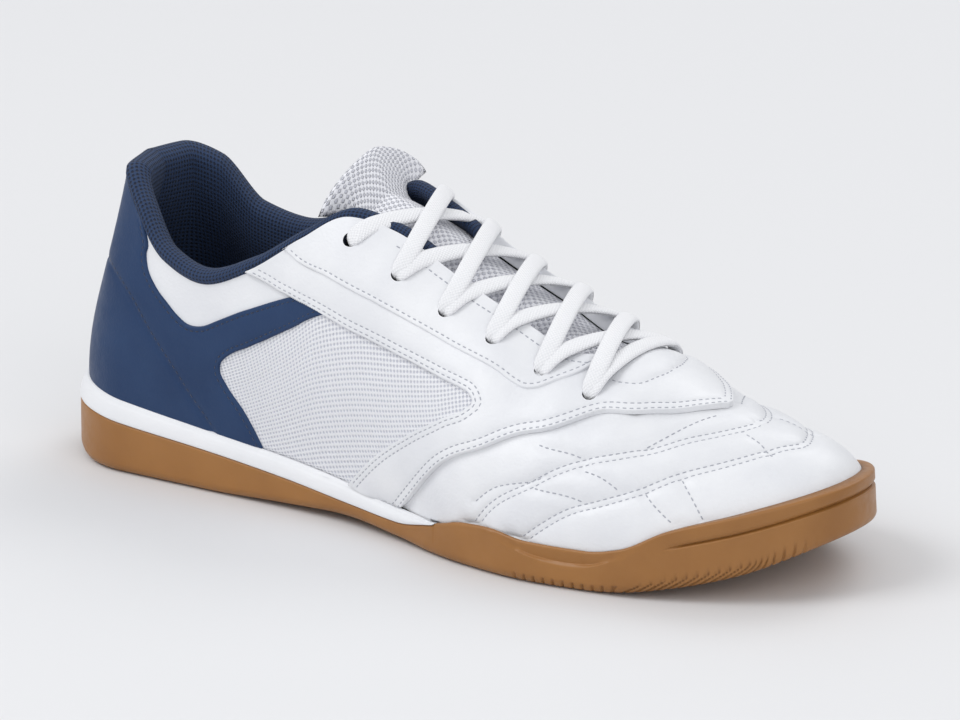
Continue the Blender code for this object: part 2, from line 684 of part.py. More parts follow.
def tongue_sections(depth):
    """Sections of one face of the tongue, from its front end under the vamp up to its free top."""
    rows = []
    first, last = TONGUE_ROWS.stations[[0, -1]]
    for share in np.linspace(last, first, TONGUE_STEPS):
        reach = float(TONGUE_ROWS("reach", share))
        sink = WALL + GAP + float(TONGUE_ROWS("sink", share)) * PADDING
        rows.append(tongue_row(share, sink + depth, reach, float(TONGUE_ROWS("crown", share)) * BALL_WIDTH))
    last = rows[-1]
    across = np.linspace(-1, 1, TONGUE_POINTS)
    half = np.ptp(last[:, 1]) / 2
    for rise in np.linspace(0, 1, TONGUE_TOP_ROWS + 1)[1:]:
        row = last.copy()
        flare = rise ** 3 * (TONGUE_WIDTH / 2 / half - 1)
        row[:, 1] *= 1 + flare - TONGUE_PINCH * rise * (1 - rise)
        row[:, 0] += rise * TONGUE_RISE * TONGUE_LEAN[0]
        row[:, 2] += rise * TONGUE_RISE * TONGUE_LEAN[1]
        row[:, 2] -= rise * TONGUE_RISE * TONGUE_CORNER * np.abs(across) ** TONGUE_CORNER_POWER
        rows.append(row)
    return np.array(rows)


def make_tongue(parts):
    outer = tongue_sections(0.0)
    inner = tongue_sections(TONGUE)
    ring = np.concatenate([outer, inner[:, ::-1]], 1)
    body = bmesh.new()
    rows = [[body.verts.new(point) for point in row] for row in ring]
    count = len(rows[0])
    for here, there in zip(rows[:-1], rows[1:]):
        for step in range(count):
            after = (step + 1) % count
            body.faces.new((here[step], there[step], there[after], here[after]))
    for end in (rows[0], rows[-1]):
        for step in range(TONGUE_POINTS - 1):
            body.faces.new((end[step], end[step + 1], end[count - 2 - step], end[count - 1 - step]))
    bmesh.ops.recalc_face_normals(body, faces=body.faces)
    return new_object("tongue", body, parts)


# Search for a place on the upper: first level, highest level, number of steps and their sizes
SEARCH_START = 0.85
SEARCH_TOP = 0.99
SEARCH_STEPS = 12
SEARCH_NUDGE = 1e-3
SEARCH_REACH = 0.05


def find_on_skin(x, y, side):
    """Place on the upper that lies over a point of the floor plan."""
    place = np.array([float(along_of(x / LENGTH)), SEARCH_START])
    for _ in range(SEARCH_STEPS):
        here = skin(place[0], side, place[1])
        along = (skin(place[0] + SEARCH_NUDGE, side, place[1]) - here) / SEARCH_NUDGE
        level = (here - skin(place[0], side, place[1] - SEARCH_NUDGE)) / SEARCH_NUDGE
        slopes = np.array([along[:2], level[:2]]).T
        step = np.linalg.solve(slopes, np.array([x, y]) - here[:2])
        place = place + np.clip(step, -SEARCH_REACH, SEARCH_REACH)
        place[1] = min(place[1], SEARCH_TOP)
    return place


def eyelet_places():
    """Station and level of each eyelet, lateral and medial, from the throat's top to its front."""
    rows = []
    for share in np.linspace(EYELET_FIRST, EYELET_LAST, EYELETS):
        rows.append([find_on_skin(share * LENGTH, side * EYELET_HALF_SPAN, side) for side in SIDES])
    return rows


def facing(place, side):
    here = skin(place[0], side, place[1])
    outside = skin(place[0], side, place[1], -1.0)
    return Vector(outside - here)


def make_eyelet_holes(places, cutters):
    body = bmesh.new()
    for row in places:
        for side, place in zip(SIDES, row):
            turn = facing(place, side).to_track_quat("Z", "Y").to_matrix().to_4x4()
            spot = Matrix.Translation(skin(place[0], side, place[1]))
            bmesh.ops.create_cone(body, cap_ends=True, segments=EYELET_SIDES, radius1=EYELET_HOLE / 2,
                                  radius2=EYELET_HOLE / 2, depth=EYELET_REACH, matrix=spot @ turn)
    return new_cutter("eyelet_cutter", body, cutters)


def lace_bar(name, ends, faces, rise, collection):
    """Flat lace from one eyelet to another, arched over the tongue."""
    body = bmesh.new()
    rings = []
    run = Vector(ends[1] - ends[0])
    outward = (faces[0] + faces[1]).normalized()
    for share in np.linspace(0, 1, LACE_STEPS):
        arch = (4 * share * (1 - share)) ** LACE_ARCH
        centre = Vector(ends[0]) + run * share + outward * rise * arch
        forward = (run + outward * LACE_SLOPE * rise * (1 - 2 * share)).normalized()
        flat = faces[0].lerp(faces[1], share).normalized()
        wide = forward.cross(flat).normalized()
        thick = wide.cross(forward).normalized()
        ring = []
        for step in range(LACE_SIDES):
            angle = 2 * math.pi * (step + 0.5) / LACE_SIDES
            across = wide * (math.cos(angle) * LACE_WIDTH / 2)
            ring.append(body.verts.new(centre + across + thick * (math.sin(angle) * LACE_THICKNESS / 2)))
        rings.append(ring)
    for here, there in zip(rings[:-1], rings[1:]):
        for step in range(LACE_SIDES):
            after = (step + 1) % LACE_SIDES
            body.faces.new((here[step], there[step], there[after], here[after]))
    body.faces.new(rings[0])
    body.faces.new(rings[-1])
    bmesh.ops.recalc_face_normals(body, faces=body.faces)
    return new_object(name, body, collection)


def make_laces(places, parts, cutters):
    """A straight bar at the front and a cross between each pair of rows, joined into one solid."""
    clear = GAP + OVERLAY + LACE_LIFT + LACE_THICKNESS / 2
    ends = [[skin(place[0], side, place[1], -clear) for side, place in zip(SIDES, row)] for row in places]
    faces = [[facing(place, side) for side, place in zip(SIDES, row)] for row in places]
    laces = lace_bar("laces", ends[-1], faces[-1], LACE_RISE, parts)
    over = LACE_RISE + LACE_CROSS
    for row in range(EYELETS - 1):
        below = row + 1
        runs = (
            ("lace_under", (ends[row][0], ends[below][1]), (faces[row][0], faces[below][1]), LACE_RISE),
            ("lace_over", (ends[below][0], ends[row][1]), (faces[below][0], faces[row][1]), over),
        )
        for name, points, normals, rise in runs:
            bar = lace_bar(f"{name}_{row}", points, normals, rise, cutters)
            bar.hide_render = True
            bar.display_type = "WIRE"
            apply_cut(laces, bar, "UNION")
    return laces


def new_collection(name):
    collection = bpy.data.collections.new(name)
    bpy.context.scene.collection.children.link(collection)
    return collection


def main():
    for thing in list(bpy.data.objects):
        bpy.data.objects.remove(thing, do_unlink=True)
    parts = new_collection("indoor_soccer_shoe")
    cutters = new_collection("cutters")
    places = eyelet_places()
    holes = make_eyelet_holes(places, cutters)
    make_outsole(parts, cutters)
    make_midsole(parts)
    make_insole(parts)
    make_upper(parts, holes)
    make_overlay("heel_counter", COUNTER, COUNTER_SPAN, SIDES, parts, cutters)
    make_overlay("quarter_strap", STRAP, STRAP_SPAN, SIDES, parts, cutters, holes)
    for side, name in zip(SIDES, ("eyestay_lateral", "eyestay_medial")):
        make_overlay(name, EYESTAY, EYESTAY_SPAN, (side,), parts, cutters, holes)
    make_padded_collar(parts)
    make_tongue(parts)
    make_laces(places, parts, cutters)
    for thing in [*parts.objects, *cutters.objects]:
        thing.location.x = -HEEL_REST
    for thing in parts.objects:
        add_finish(thing)


main()
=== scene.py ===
"""Looks of an indoor soccer shoe for the right foot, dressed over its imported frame.

Pieces are worked out in the shoe's own metres: heel at x = 0, toe along +X, medial side on +Y.
The frame's origin lies a little ahead of the heel, so each finished piece is shifted back by it.
"""
import math

import bmesh
import bpy
import numpy as np
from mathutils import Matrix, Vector
from mathutils.geometry import delaunay_2d_cdt


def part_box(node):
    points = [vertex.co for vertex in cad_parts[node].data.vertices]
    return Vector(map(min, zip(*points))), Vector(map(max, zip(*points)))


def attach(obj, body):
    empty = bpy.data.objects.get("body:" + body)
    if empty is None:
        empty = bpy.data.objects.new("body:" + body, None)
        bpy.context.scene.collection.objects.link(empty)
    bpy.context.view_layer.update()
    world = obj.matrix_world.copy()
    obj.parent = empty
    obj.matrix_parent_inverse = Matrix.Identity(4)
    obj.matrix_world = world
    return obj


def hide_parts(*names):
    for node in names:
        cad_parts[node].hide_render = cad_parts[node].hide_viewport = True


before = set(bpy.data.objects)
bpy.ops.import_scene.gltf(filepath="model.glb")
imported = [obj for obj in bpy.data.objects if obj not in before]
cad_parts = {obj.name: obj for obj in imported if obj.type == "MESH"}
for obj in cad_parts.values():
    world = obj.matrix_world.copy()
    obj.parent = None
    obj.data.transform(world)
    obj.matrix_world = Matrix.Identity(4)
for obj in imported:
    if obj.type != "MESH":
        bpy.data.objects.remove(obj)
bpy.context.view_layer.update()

SOLE_LOW, SOLE_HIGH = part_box("outsole")

# Driving sizes of the shoe
LENGTH = SOLE_HIGH.x - SOLE_LOW.x
HEEL_X = SOLE_LOW.x
BALL_WIDTH = 0.100
COLLAR_HEIGHT = 0.0975
SOLE_HEIGHT = 0.0275
WALL = 0.0022
GAP = 0.0003
HEEL_ROUND = 0.105
TOE_ROUND = 0.20
TOE_POWER = 2.4
SWING_START = 0.62
SWING_POWER = 1.6
TOE_SWING = 0.03
THROAT_END = 0.74
COLLAR_END = 0.380
CURVED_BY = 1e-4
SIDES = (-1, 1)
SIDE_NAMES = {-1: "lateral", 1: "medial"}

# Camera, at the photograph's angle, and the picture that it takes
IMAGE_WIDTH = 960
CAMERA_AZIMUTH = 32.9
CAMERA_ELEVATION = 17.5
CAMERA_DISTANCE = 2.816
CAMERA_TARGET = Vector((0.1784, 0.0, 0.0767))
CAMERA_FOCUS = 7064.6
FRAME_ZOOM = 1.27
FRAME_CENTRE = (348.0, 395.0)
PHOTO_CENTRE = (480.0, 360.0)
SENSOR = 36.0
CAMERA_CLIP = (0.1, 50.0)


def unit(vectors):
    """The vectors, each at a length of one."""
    return vectors / np.linalg.norm(vectors, axis=-1, keepdims=True)


def travelled_along(points):
    """How far along a line of points each of them lies."""
    return np.concatenate([[0.0], np.cumsum(np.linalg.norm(np.diff(points, axis=0), axis=1))])


def into_scene(name, data):
    """New object in the scene's own collection."""
    made = bpy.data.objects.new(name, data)
    bpy.context.scene.collection.objects.link(made)
    return made


def place_camera():
    """Camera where the photograph's stood, turned and zoomed so that the one shoe fills the frame."""
    azimuth, elevation = math.radians(CAMERA_AZIMUTH), math.radians(CAMERA_ELEVATION)
    level = math.cos(elevation)
    back = Vector((math.sin(azimuth) * level, -math.cos(azimuth) * level, math.sin(elevation)))
    right = Vector((math.cos(azimuth), math.sin(azimuth), 0.0))
    up = back.cross(right)
    data = bpy.data.cameras.new("camera")
    camera = into_scene("camera", data)
    camera.location = CAMERA_TARGET + back * CAMERA_DISTANCE
    across = (FRAME_CENTRE[0] - PHOTO_CENTRE[0]) / CAMERA_FOCUS
    down = (FRAME_CENTRE[1] - PHOTO_CENTRE[1]) / CAMERA_FOCUS
    look = right * across - up * down - back
    camera.rotation_mode = "QUATERNION"
    camera.rotation_quaternion = look.to_track_quat("-Z", "Y")
    data.sensor_width = SENSOR
    data.lens = CAMERA_FOCUS * FRAME_ZOOM / IMAGE_WIDTH * SENSOR
    data.clip_start, data.clip_end = CAMERA_CLIP
    bpy.context.scene.camera = camera


place_camera()


# Form of the last and the sole, as the solids have it
def smooth_through(stations, values, at):
    """Values at the stations, joined by a smooth curve that never overshoots a row."""
    at = np.clip(np.asarray(at, float), stations[0], stations[-1])
    step = np.diff(stations)
    slope = np.diff(values) / step
    heavy = 2 * step[1:] + step[:-1]
    light = step[1:] + 2 * step[:-1]
    turning = slope[:-1] * slope[1:] <= 0
    before = np.where(turning, 1.0, slope[:-1])
    after = np.where(turning, 1.0, slope[1:])
    mean = (heavy + light) / (heavy / before + light / after)
    tangent = np.concatenate([slope[:1], np.where(turning, 0.0, mean), slope[-1:]])
    row = np.clip(np.searchsorted(stations, at, side="right") - 1, 0, len(step) - 1)
    share = (at - stations[row]) / step[row]
    rise = share * share * (3 - 2 * share)
    pull = (1 - share) * tangent[row] - share * tangent[row + 1]
    return values[row] * (1 - rise) + values[row + 1] * rise + step[row] * share * (1 - share) * pull


class Table:
    """A short table with named columns. The first column is the station."""

    def __init__(self, columns, rows):
        self.columns = dict(zip(columns, np.array(rows, float).T))
        self.stations = self.columns[columns[0]]

    def __call__(self, column, at):
        return smooth_through(self.stations, self.columns[column], at)


# Half widths of the sole, as shares of the ball width
OUTLINE = Table(("at", "lateral", "medial"), (
    (0.00, 0.330, 0.330),
    (0.12, 0.335, 0.340),
    (0.25, 0.335, 0.325),
    (0.38, 0.345, 0.310),
    (0.50, 0.405, 0.345),
    (0.60, 0.480, 0.430),
    (0.68, 0.505, 0.490),
    (0.78, 0.475, 0.495),
    (0.88, 0.410, 0.465),
    (1.00, 0.350, 0.430),
))

# Heights of the sole as shares of the sole height, and insets from the outline as shares of the ball width
SOLE = Table(("at", "bottom", "gum", "top", "floor", "edge", "seat"), (
    (0.00, 0.110, 0.720, 1.000, 0.870, 0.020, 0.040),
    (0.06, 0.000, 0.680, 0.940, 0.810, 0.018, 0.038),
    (0.12, 0.000, 0.610, 0.865, 0.740, 0.016, 0.036),
    (0.22, 0.000, 0.520, 0.745, 0.630, 0.014, 0.034),
    (0.34, 0.055, 0.385, 0.610, 0.500, 0.012, 0.032),
    (0.42, 0.090, 0.285, 0.497, 0.410, 0.012, 0.030),
    (0.50, 0.040, 0.250, 0.405, 0.355, 0.010, 0.028),
    (0.55, 0.000, 0.355, 0.390, 0.345, 0.006, 0.025),
    (0.60, 0.000, 0.510, 0.515, 0.345, 0.004, 0.024),
    (0.64, 0.000, 0.550, 0.550, 0.345, 0.004, 0.024),
    (0.69, 0.000, 0.490, 0.490, 0.345, 0.004, 0.024),
    (0.76, 0.000, 0.485, 0.485, 0.355, 0.004, 0.024),
    (0.80, 0.030, 0.560, 0.560, 0.380, 0.006, 0.025),
    (0.85, 0.120, 0.820, 0.820, 0.450, 0.008, 0.028),
    (0.92, 0.310, 1.040, 1.040, 0.640, 0.012, 0.033),
    (1.00, 0.670, 1.280, 1.280, 0.980, 0.016, 0.040),
))

# Ribs of the last run from the seat to the top line. x is a share of the length, half of the ball
# width, and each side's height of the collar height. Leans are degrees, outward at the seat and
# inward at the top. Pulls are shares of the rib's chord.
RIB = Table(("at", "x", "half", "lateral", "medial", "low_lean", "top_lean", "low_pull", "top_pull"), (
    (0.00, 0.066, 0.000, 0.985, 0.985, 3, 12, 0.34, 0.34),
    (0.05, 0.080, 0.147, 0.980, 0.985, 3, 12, 0.34, 0.34),
    (0.10, 0.115, 0.233, 0.890, 0.935, 6, 8, 0.34, 0.34),
    (0.15, 0.160, 0.283, 0.760, 0.780, 8, 4, 0.34, 0.34),
    (0.20, 0.215, 0.300, 0.713, 0.743, 6, 4, 0.34, 0.34),
    (0.26, 0.280, 0.290, 0.785, 0.800, 6, 10, 0.34, 0.34),
    (0.32, 0.345, 0.255, 0.910, 0.910, 6, 24, 0.34, 0.34),
    (0.37, 0.395, 0.205, 0.990, 0.990, 6, 40, 0.34, 0.36),
    (0.42, 0.445, 0.170, 0.955, 0.955, 7, 52, 0.34, 0.38),
    (0.50, 0.515, 0.155, 0.850, 0.850, 8, 58, 0.34, 0.40),
    (0.60, 0.600, 0.155, 0.743, 0.743, 10, 62, 0.34, 0.38),
    (0.68, 0.680, 0.145, 0.650, 0.650, 12, 68, 0.34, 0.36),
    (0.74, 0.738, 0.000, 0.645, 0.645, 12, 88, 0.34, 0.36),
    (0.82, 0.795, 0.000, 0.578, 0.578, 14, 87, 0.33, 0.35),
    (0.90, 0.850, 0.000, 0.530, 0.530, 14, 85, 0.33, 0.35),
    (1.00, 0.895, 0.000, 0.495, 0.495, 12, 80, 0.36, 0.38),
))


def station(along):
    """Share of the length at an even step around the outline."""
    return (1 - np.cos(math.pi * np.asarray(along, float))) / 2


def along_of(share):
    """Even step around the outline for a share of the length."""
    return np.arccos(1 - 2 * np.asarray(share, float)) / math.pi


def swing_at(share):
    swung = np.clip((share - SWING_START) / (1 - SWING_START), 0, None)
    return TOE_SWING * BALL_WIDTH * swung ** SWING_POWER


def outline_at(share, side):
    heel = np.sqrt(np.clip(1 - np.clip(1 - share / HEEL_ROUND, 0, 1) ** 2, 0, 1))
    toe = np.sqrt(np.clip(1 - np.clip((share - 1 + TOE_ROUND) / TOE_ROUND, 0, 1) ** TOE_POWER, 0, 1))
    half = OUTLINE("lateral" if side < 0 else "medial", share) * BALL_WIDTH * heel * toe
    return share * LENGTH, swing_at(share) + side * half


def around(along, side):
    """A point of the outline, where a step past the heel or toe goes on along the other side."""
    crossed = (along < 0) | (along > 1)
    share = station(np.where(along < 0, -along, np.where(along > 1, 2 - along, along)))
    own = np.stack(outline_at(share, side), -1)
    return np.where(crossed[..., None], np.stack(outline_at(share, -side), -1), own)


def inward_at(share, side):
    """Plan direction that points from the outline into the shoe."""
    along = along_of(share)
    run = around(along + CURVED_BY, side) - around(along - CURVED_BY, side)
    size = np.linalg.norm(run, axis=-1)
    return side * run[..., 1] / size, -side * run[..., 0] / size


def inset_outline(share, side, inset):
    x, y = outline_at(share, side)
    across, along = inward_at(share, side)
    return x + across * inset, y + along * inset


def rib_point(share, side, up):
    """A point of the last's outer surface, up from the seat to the top line."""
    share, up = np.broadcast_arrays(np.asarray(share, float), np.asarray(up, float))
    x, y = inset_outline(share, side, SOLE("seat", share) * BALL_WIDTH)
    seat = np.stack([x, y, SOLE("floor", share) * SOLE_HEIGHT + GAP], -1)
    top_x = RIB("x", share)
    top_y = swing_at(top_x) + side * RIB("half", share) * BALL_WIDTH
    top_z = RIB("lateral" if side < 0 else "medial", share) * COLLAR_HEIGHT
    top = np.stack([top_x * LENGTH, top_y, top_z], -1)
    across, along = inward_at(share, side)
    low = np.radians(RIB("low_lean", share))
    high = np.radians(RIB("top_lean", share))
    leave = np.stack([-across * np.sin(low), -along * np.sin(low), np.cos(low)], -1)
    arrive = np.stack([across * np.sin(high), along * np.sin(high), np.cos(high)], -1)
    chord = np.linalg.norm(top - seat, axis=-1)
    first = seat + leave * (RIB("low_pull", share) * chord)[..., None]
    second = top - arrive * (RIB("top_pull", share) * chord)[..., None]
    u = up[..., None]
    v = 1 - u
    return v ** 3 * seat + 3 * v * v * u * first + 3 * v * u * u * second + u ** 3 * top


LINE_REACH = 0.7
LINE_HALVINGS = 24


def find_line(share, side):
    """How far up its rib the sole's top line crosses the upper."""
    goal = SOLE("top", share) * SOLE_HEIGHT
    low = np.zeros_like(goal)
    high = np.full_like(goal, LINE_REACH)
    for _ in range(LINE_HALVINGS):
        middle = (low + high) / 2
        under = rib_point(share, side, middle)[..., 2] < goal
        low = np.where(under, middle, low)
        high = np.where(under, high, middle)
    return high


LINE_ALONGS = np.linspace(0, 1, 241)
LINES = {side: find_line(station(LINE_ALONGS), side) for side in SIDES}


def level_point(along, side, level):
    """A point of the upper. Level -1 is the seat, 0 the sole's top line and 1 the top line."""
    share = station(along)
    line = np.interp(along, LINE_ALONGS, LINES[side])
    up = np.where(level < 0, line * (1 + level), line + (1 - line) * level)
    return rib_point(share, side, up)


def wrapped_point(along, side, level):
    """A point of the surface, where a step past the heel, toe or ridge goes on over the other side."""
    crossed = (along < 0) | (along > 1) | (level > 1)
    along = np.where(along < 0, -along, np.where(along > 1, 2 - along, along))
    level = np.where(level > 1, 2 - level, level)
    own = level_point(along, side, level)
    if not np.any(crossed):
        return own
    return np.where(crossed[..., None], level_point(along, -side, level), own)


def skin(along, side, level, depth=0.0):
    """Point of the upper, sunk by a depth along the inward normal. A negative depth stands proud."""
    along, level = np.broadcast_arrays(np.asarray(along, float), np.asarray(level, float))
    ridge = (station(along) >= THROAT_END - CURVED_BY) & (along < 1 - CURVED_BY)
    above = np.where(ridge, level + CURVED_BY, np.minimum(level + CURVED_BY, 1))
    below = np.maximum(level - CURVED_BY, -1)
    under = np.minimum(level, 1 - CURVED_BY)
    forward = wrapped_point(along + CURVED_BY, side, under) - wrapped_point(along - CURVED_BY, side, under)
    upward = wrapped_point(along, side, above) - wrapped_point(along, side, below)
    normal = unit(-side * np.cross(forward, upward))
    return wrapped_point(along, side, level) - normal * np.asarray(depth)[..., None]


# Chart of the upper, on which panels and seams are drawn: metres around, and levels in metres up
CHART_LEVEL = 0.5
CHART_STEPS = 401
LEVEL_RUN = 0.070
CHART_NUDGE = 1e-4
CURVE_STEP = 0.0011
CURVE_SAMPLES = 24


def chart_runs():
    alongs = np.linspace(0, 1, CHART_STEPS)
    return alongs, travelled_along(level_point(alongs, -1, CHART_LEVEL))


CHART_ALONGS, CHART_RUNS = chart_runs()


def chart(points):
    """Places on the chart for rows of share of the length and level."""
    points = np.array(points, float)
    run = np.interp(along_of(points[:, 0]), CHART_ALONGS, CHART_RUNS)
    return np.stack([run, points[:, 1] * LEVEL_RUN], 1)


def surface(places, side, depth=0.0):
    """Points in space for places on the chart."""
    along = np.interp(places[:, 0], CHART_RUNS, CHART_ALONGS)
    return skin(along, side, np.minimum(places[:, 1] / LEVEL_RUN, 1.0), depth + 0 * along)


KEPT = {}


def worked_once(work):
    """The work's answer, kept for the next time that the same places are asked for."""
    def asked(places, side):
        key = (work.__name__, side, places.tobytes())
        if key not in KEPT:
            KEPT[key] = work(places, side)
        return KEPT[key]
    return asked


@worked_once
def normals_at(places, side):
    safe = places.copy()
    safe[:, 1] = np.maximum(safe[:, 1], 2 * CHART_NUDGE)
    return surface(safe, side, -1.0) - surface(safe, side, 0.0)


@worked_once
def slopes_at(places, side):
    """How the surface moves with a step around and a step up the chart."""
    safe = places.copy()
    safe[:, 0] = np.clip(safe[:, 0], 2 * CHART_NUDGE, CHART_RUNS[-1] - 2 * CHART_NUDGE)
    safe[:, 1] = np.clip(safe[:, 1], 2 * CHART_NUDGE, LEVEL_RUN - 2 * CHART_NUDGE)
    step_along = np.array([CHART_NUDGE, 0.0])
    step_up = np.array([0.0, CHART_NUDGE])
    along = surface(safe + step_along, side) - surface(safe - step_along, side)
    upward = surface(safe + step_up, side) - surface(safe - step_up, side)
    return along / (2 * CHART_NUDGE), upward / (2 * CHART_NUDGE)


def moved(places, side, steps):
    """Places on the chart after steps given in space."""
    along, upward = slopes_at(places, side)
    aa = np.sum(along * along, 1)
    au = np.sum(along * upward, 1)
    uu = np.sum(upward * upward, 1)
    ga = np.sum(along * steps, 1)
    gu = np.sum(upward * steps, 1)
    size = aa * uu - au * au
    return places + np.stack([(uu * ga - au * gu) / size, (aa * gu - au * ga) / size], 1)


def offset_line(places, side, distance):
    """The line moved sideways over the surface, to the left of its way on the chart for a plus."""
    ahead = np.gradient(places, axis=0)
    along, upward = slopes_at(places, side)
    way = unit(along * ahead[:, :1] + upward * ahead[:, 1:])
    across = -side * np.cross(normals_at(places, side), way)
    return moved(places, side, across * distance)


def smooth_step(value, low, high):
    share = np.clip((value - low) / (high - low), 0, 1)
    return share * share * (3 - 2 * share)


def even_row(points, count):
    """Points at even steps along a line through the given points."""
    travelled = travelled_along(points)
    wanted = np.linspace(0, travelled[-1], count)
    return np.stack([np.interp(wanted, travelled, column) for column in points.T], 1)


def rounded(points, chords, at):
    """Points of the smooth curve through the given ones, at distances along their chords."""
    tangents = np.gradient(points, chords, axis=0)
    row = np.clip(np.searchsorted(chords, at, side="right") - 1, 0, len(chords) - 2)
    width = (chords[row + 1] - chords[row])[:, None]
    u = (at - chords[row])[:, None] / width
    start = points[row] * (1 + 2 * u) * (1 - u) ** 2 + tangents[row] * width * u * (1 - u) ** 2
    end = points[row + 1] * u * u * (3 - 2 * u) - tangents[row + 1] * width * u * u * (1 - u)
    return start + end


def curve(points, step=CURVE_STEP):
    """Even points on a smooth curve through the given ones."""
    points = np.asarray(points, float)
    if len(points) > 2:
        chords = travelled_along(points)
        spans = zip(chords[:-1], chords[1:])
        at = np.unique(np.concatenate([np.linspace(a, b, CURVE_SAMPLES) for a, b in spans]))
        points = rounded(points, chords, at)
    length = np.sum(np.linalg.norm(np.diff(points, axis=0), axis=1))
    return even_row(points, max(2, int(round(length / step)) + 1))


def seam(*rows):
    """Smooth line on the chart through rows of share of the length and level."""
    return curve(chart(rows))


def joined(*lines):
    """Closed loop of lines laid end to end."""
    points = [point for line in lines for point in line]
    kept = [points[0]]
    for point in points[1:]:
        if np.linalg.norm(point - kept[-1]) > CURVE_STEP / 4:
            kept.append(point)
    if np.linalg.norm(kept[0] - kept[-1]) < CURVE_STEP / 4:
        kept.pop()
    return np.array(kept)


# Filling of panels with triangles
CHUNK = 3000
LINE_PART = 12
NO_LENGTH = 1e-18
FILL_GAP = 0.7
FILL_NEAR = 1e-9
WELD = 2e-5


def inside(points, loop):
    """Which points lie inside a closed loop."""
    found = []
    x0, y0 = loop[:, 0], loop[:, 1]
    x1, y1 = np.roll(x0, -1), np.roll(y0, -1)
    rise = np.where(y1 == y0, 1.0, y1 - y0)
    for start in range(0, len(points), CHUNK):
        x = points[start:start + CHUNK, :1]
        y = points[start:start + CHUNK, 1:2]
        crosses = (y0 > y) != (y1 > y)
        meets = (x1 - x0) * (y - y0) / rise + x0
        found.append(np.sum(crosses & (x < meets), axis=1) % 2 == 1)
    return np.concatenate(found) if found else np.zeros(0, bool)


def distance_to(points, line, reach=math.inf):
    """Distance in space from each point to a line. Past the reach it may be given as infinite."""
    found = np.full(len(points), math.inf)
    for first in range(0, len(line) - 1, LINE_PART):
        part = line[first:first + LINE_PART + 1]
        low, high = part.min(0) - reach, part.max(0) + reach
        near = np.flatnonzero(np.all((points >= low) & (points <= high), axis=1))
        start = part[:-1]
        run = part[1:] - start
        size = np.maximum(np.sum(run * run, 1), NO_LENGTH)
        for chunk in np.array_split(near, len(near) // CHUNK + 1):
            if not len(chunk):
                continue
            away = points[chunk, None, :] - start
            share = np.clip(np.sum(away * run, 2) / size, 0, 1)
            nearest = np.linalg.norm(away - share[..., None] * run, axis=2).min(1)
            found[chunk] = np.minimum(found[chunk], nearest)
    return found


class Sieve:
    """Keeps points that stay clear of those kept before."""

    def __init__(self, cell):
        self.cell = cell
        self.cells = {}
        self.points = []

    def add(self, points, gap):
        for x, y in points:
            column, row = int(x // self.cell), int(y // self.cell)
            near = [
                spot
                for i in (column - 1, column, column + 1)
                for j in (row - 1, row, row + 1)
                for spot in self.cells.get((i, j), ())
            ]
            if all((x - a) ** 2 + (y - b) ** 2 >= gap * gap for a, b in near):
                self.cells.setdefault((column, row), []).append((x, y))
                self.points.append((x, y))


def triangulate(loop, lines, spacing, holes=()):
    """Places and triangles that fill a loop on the chart, finer along the given lines."""
    sieve = Sieve(spacing)
    sieve.add(loop, 0.0)
    for hole in holes:
        sieve.add(hole, 0.0)
    fixed = len(sieve.points)
    for line, gap in lines:
        kept = inside(line, loop)
        for hole in holes:
            kept &= ~inside(line, hole)
        sieve.add(line[kept], gap)
    low, high = loop.min(0), loop.max(0)
    across = np.arange(low[0] + spacing / 2, high[0], spacing)
    rows = np.arange(low[1] + spacing / 2, high[1], spacing * math.sqrt(3) / 2)
    even = np.array([(x + (row % 2) * spacing / 2, y) for row, y in enumerate(rows) for x in across])
    kept = inside(even, loop)
    for hole in holes:
        kept &= ~inside(even, hole)
    sieve.add(even[kept], FILL_GAP * spacing)
    edges = []
    start = 0
    for ring in (loop, *holes):
        size = len(ring)
        edges += [(start + i, start + (i + 1) % size) for i in range(size)]
        start += size
    assert start == fixed
    made = delaunay_2d_cdt([Vector(point) for point in sieve.points], edges, [], 1, FILL_NEAR)
    places = np.array([tuple(point) for point in made[0]])
    faces = np.array([face for face in made[2] if len(face) == 3])
    centres = places[faces].mean(1)
    kept = inside(centres, loop)
    for hole in holes:
        kept &= ~inside(centres, hole)
    return places, faces[kept]


# Pieces are made as meshes with the chart, or their own metres, as their map
def new_piece(name, vertices, faces, uvs, materials, nodes=(), choice=None, weld=0.0):
    """Object from points, faces and a map for each point, on the frame's one body."""
    mesh = bpy.data.meshes.new(name)
    shifted = np.asarray(vertices, float) + np.array([HEEL_X, 0.0, 0.0])
    mesh.from_pydata(shifted.tolist(), [], [tuple(int(i) for i in face) for face in faces])
    layer = mesh.uv_layers.new(name="map")
    corners = np.zeros(len(mesh.loops), int)
    mesh.loops.foreach_get("vertex_index", corners)
    layer.data.foreach_set("uv", np.asarray(uvs, float)[corners].ravel())
    for material in materials:
        mesh.materials.append(material)
    if choice is not None:
        mesh.polygons.foreach_set("material_index", np.asarray(choice, int))
    if weld:
        body = bmesh.new()
        body.from_mesh(mesh)
        bmesh.ops.remove_doubles(body, verts=body.verts, dist=weld)
        body.to_mesh(mesh)
        body.free()
    mesh.shade_smooth()
    piece = into_scene(name, mesh)
    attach(piece, "root")
    if nodes:
        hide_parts(*nodes)
    return piece


# Cut edges of the covers, and the steps at which points follow edges and seams
EDGE_WALL = 0.0001
THIN_ROUND = 0.0007
THIN_SHOULDER = 0.0004
THIN_FOOT = -0.0003
GROOVE_REACH = 3.0
EDGE_STEPS = (0.0001, 0.00025, 0.00045, 0.0008, 0.0013)
EDGE_GAP = 0.00012
SEAM_STEPS = (-1.9, -1.1, -0.5, 0.0, 0.5, 1.1, 1.9)
SEAM_GAP = 0.0004


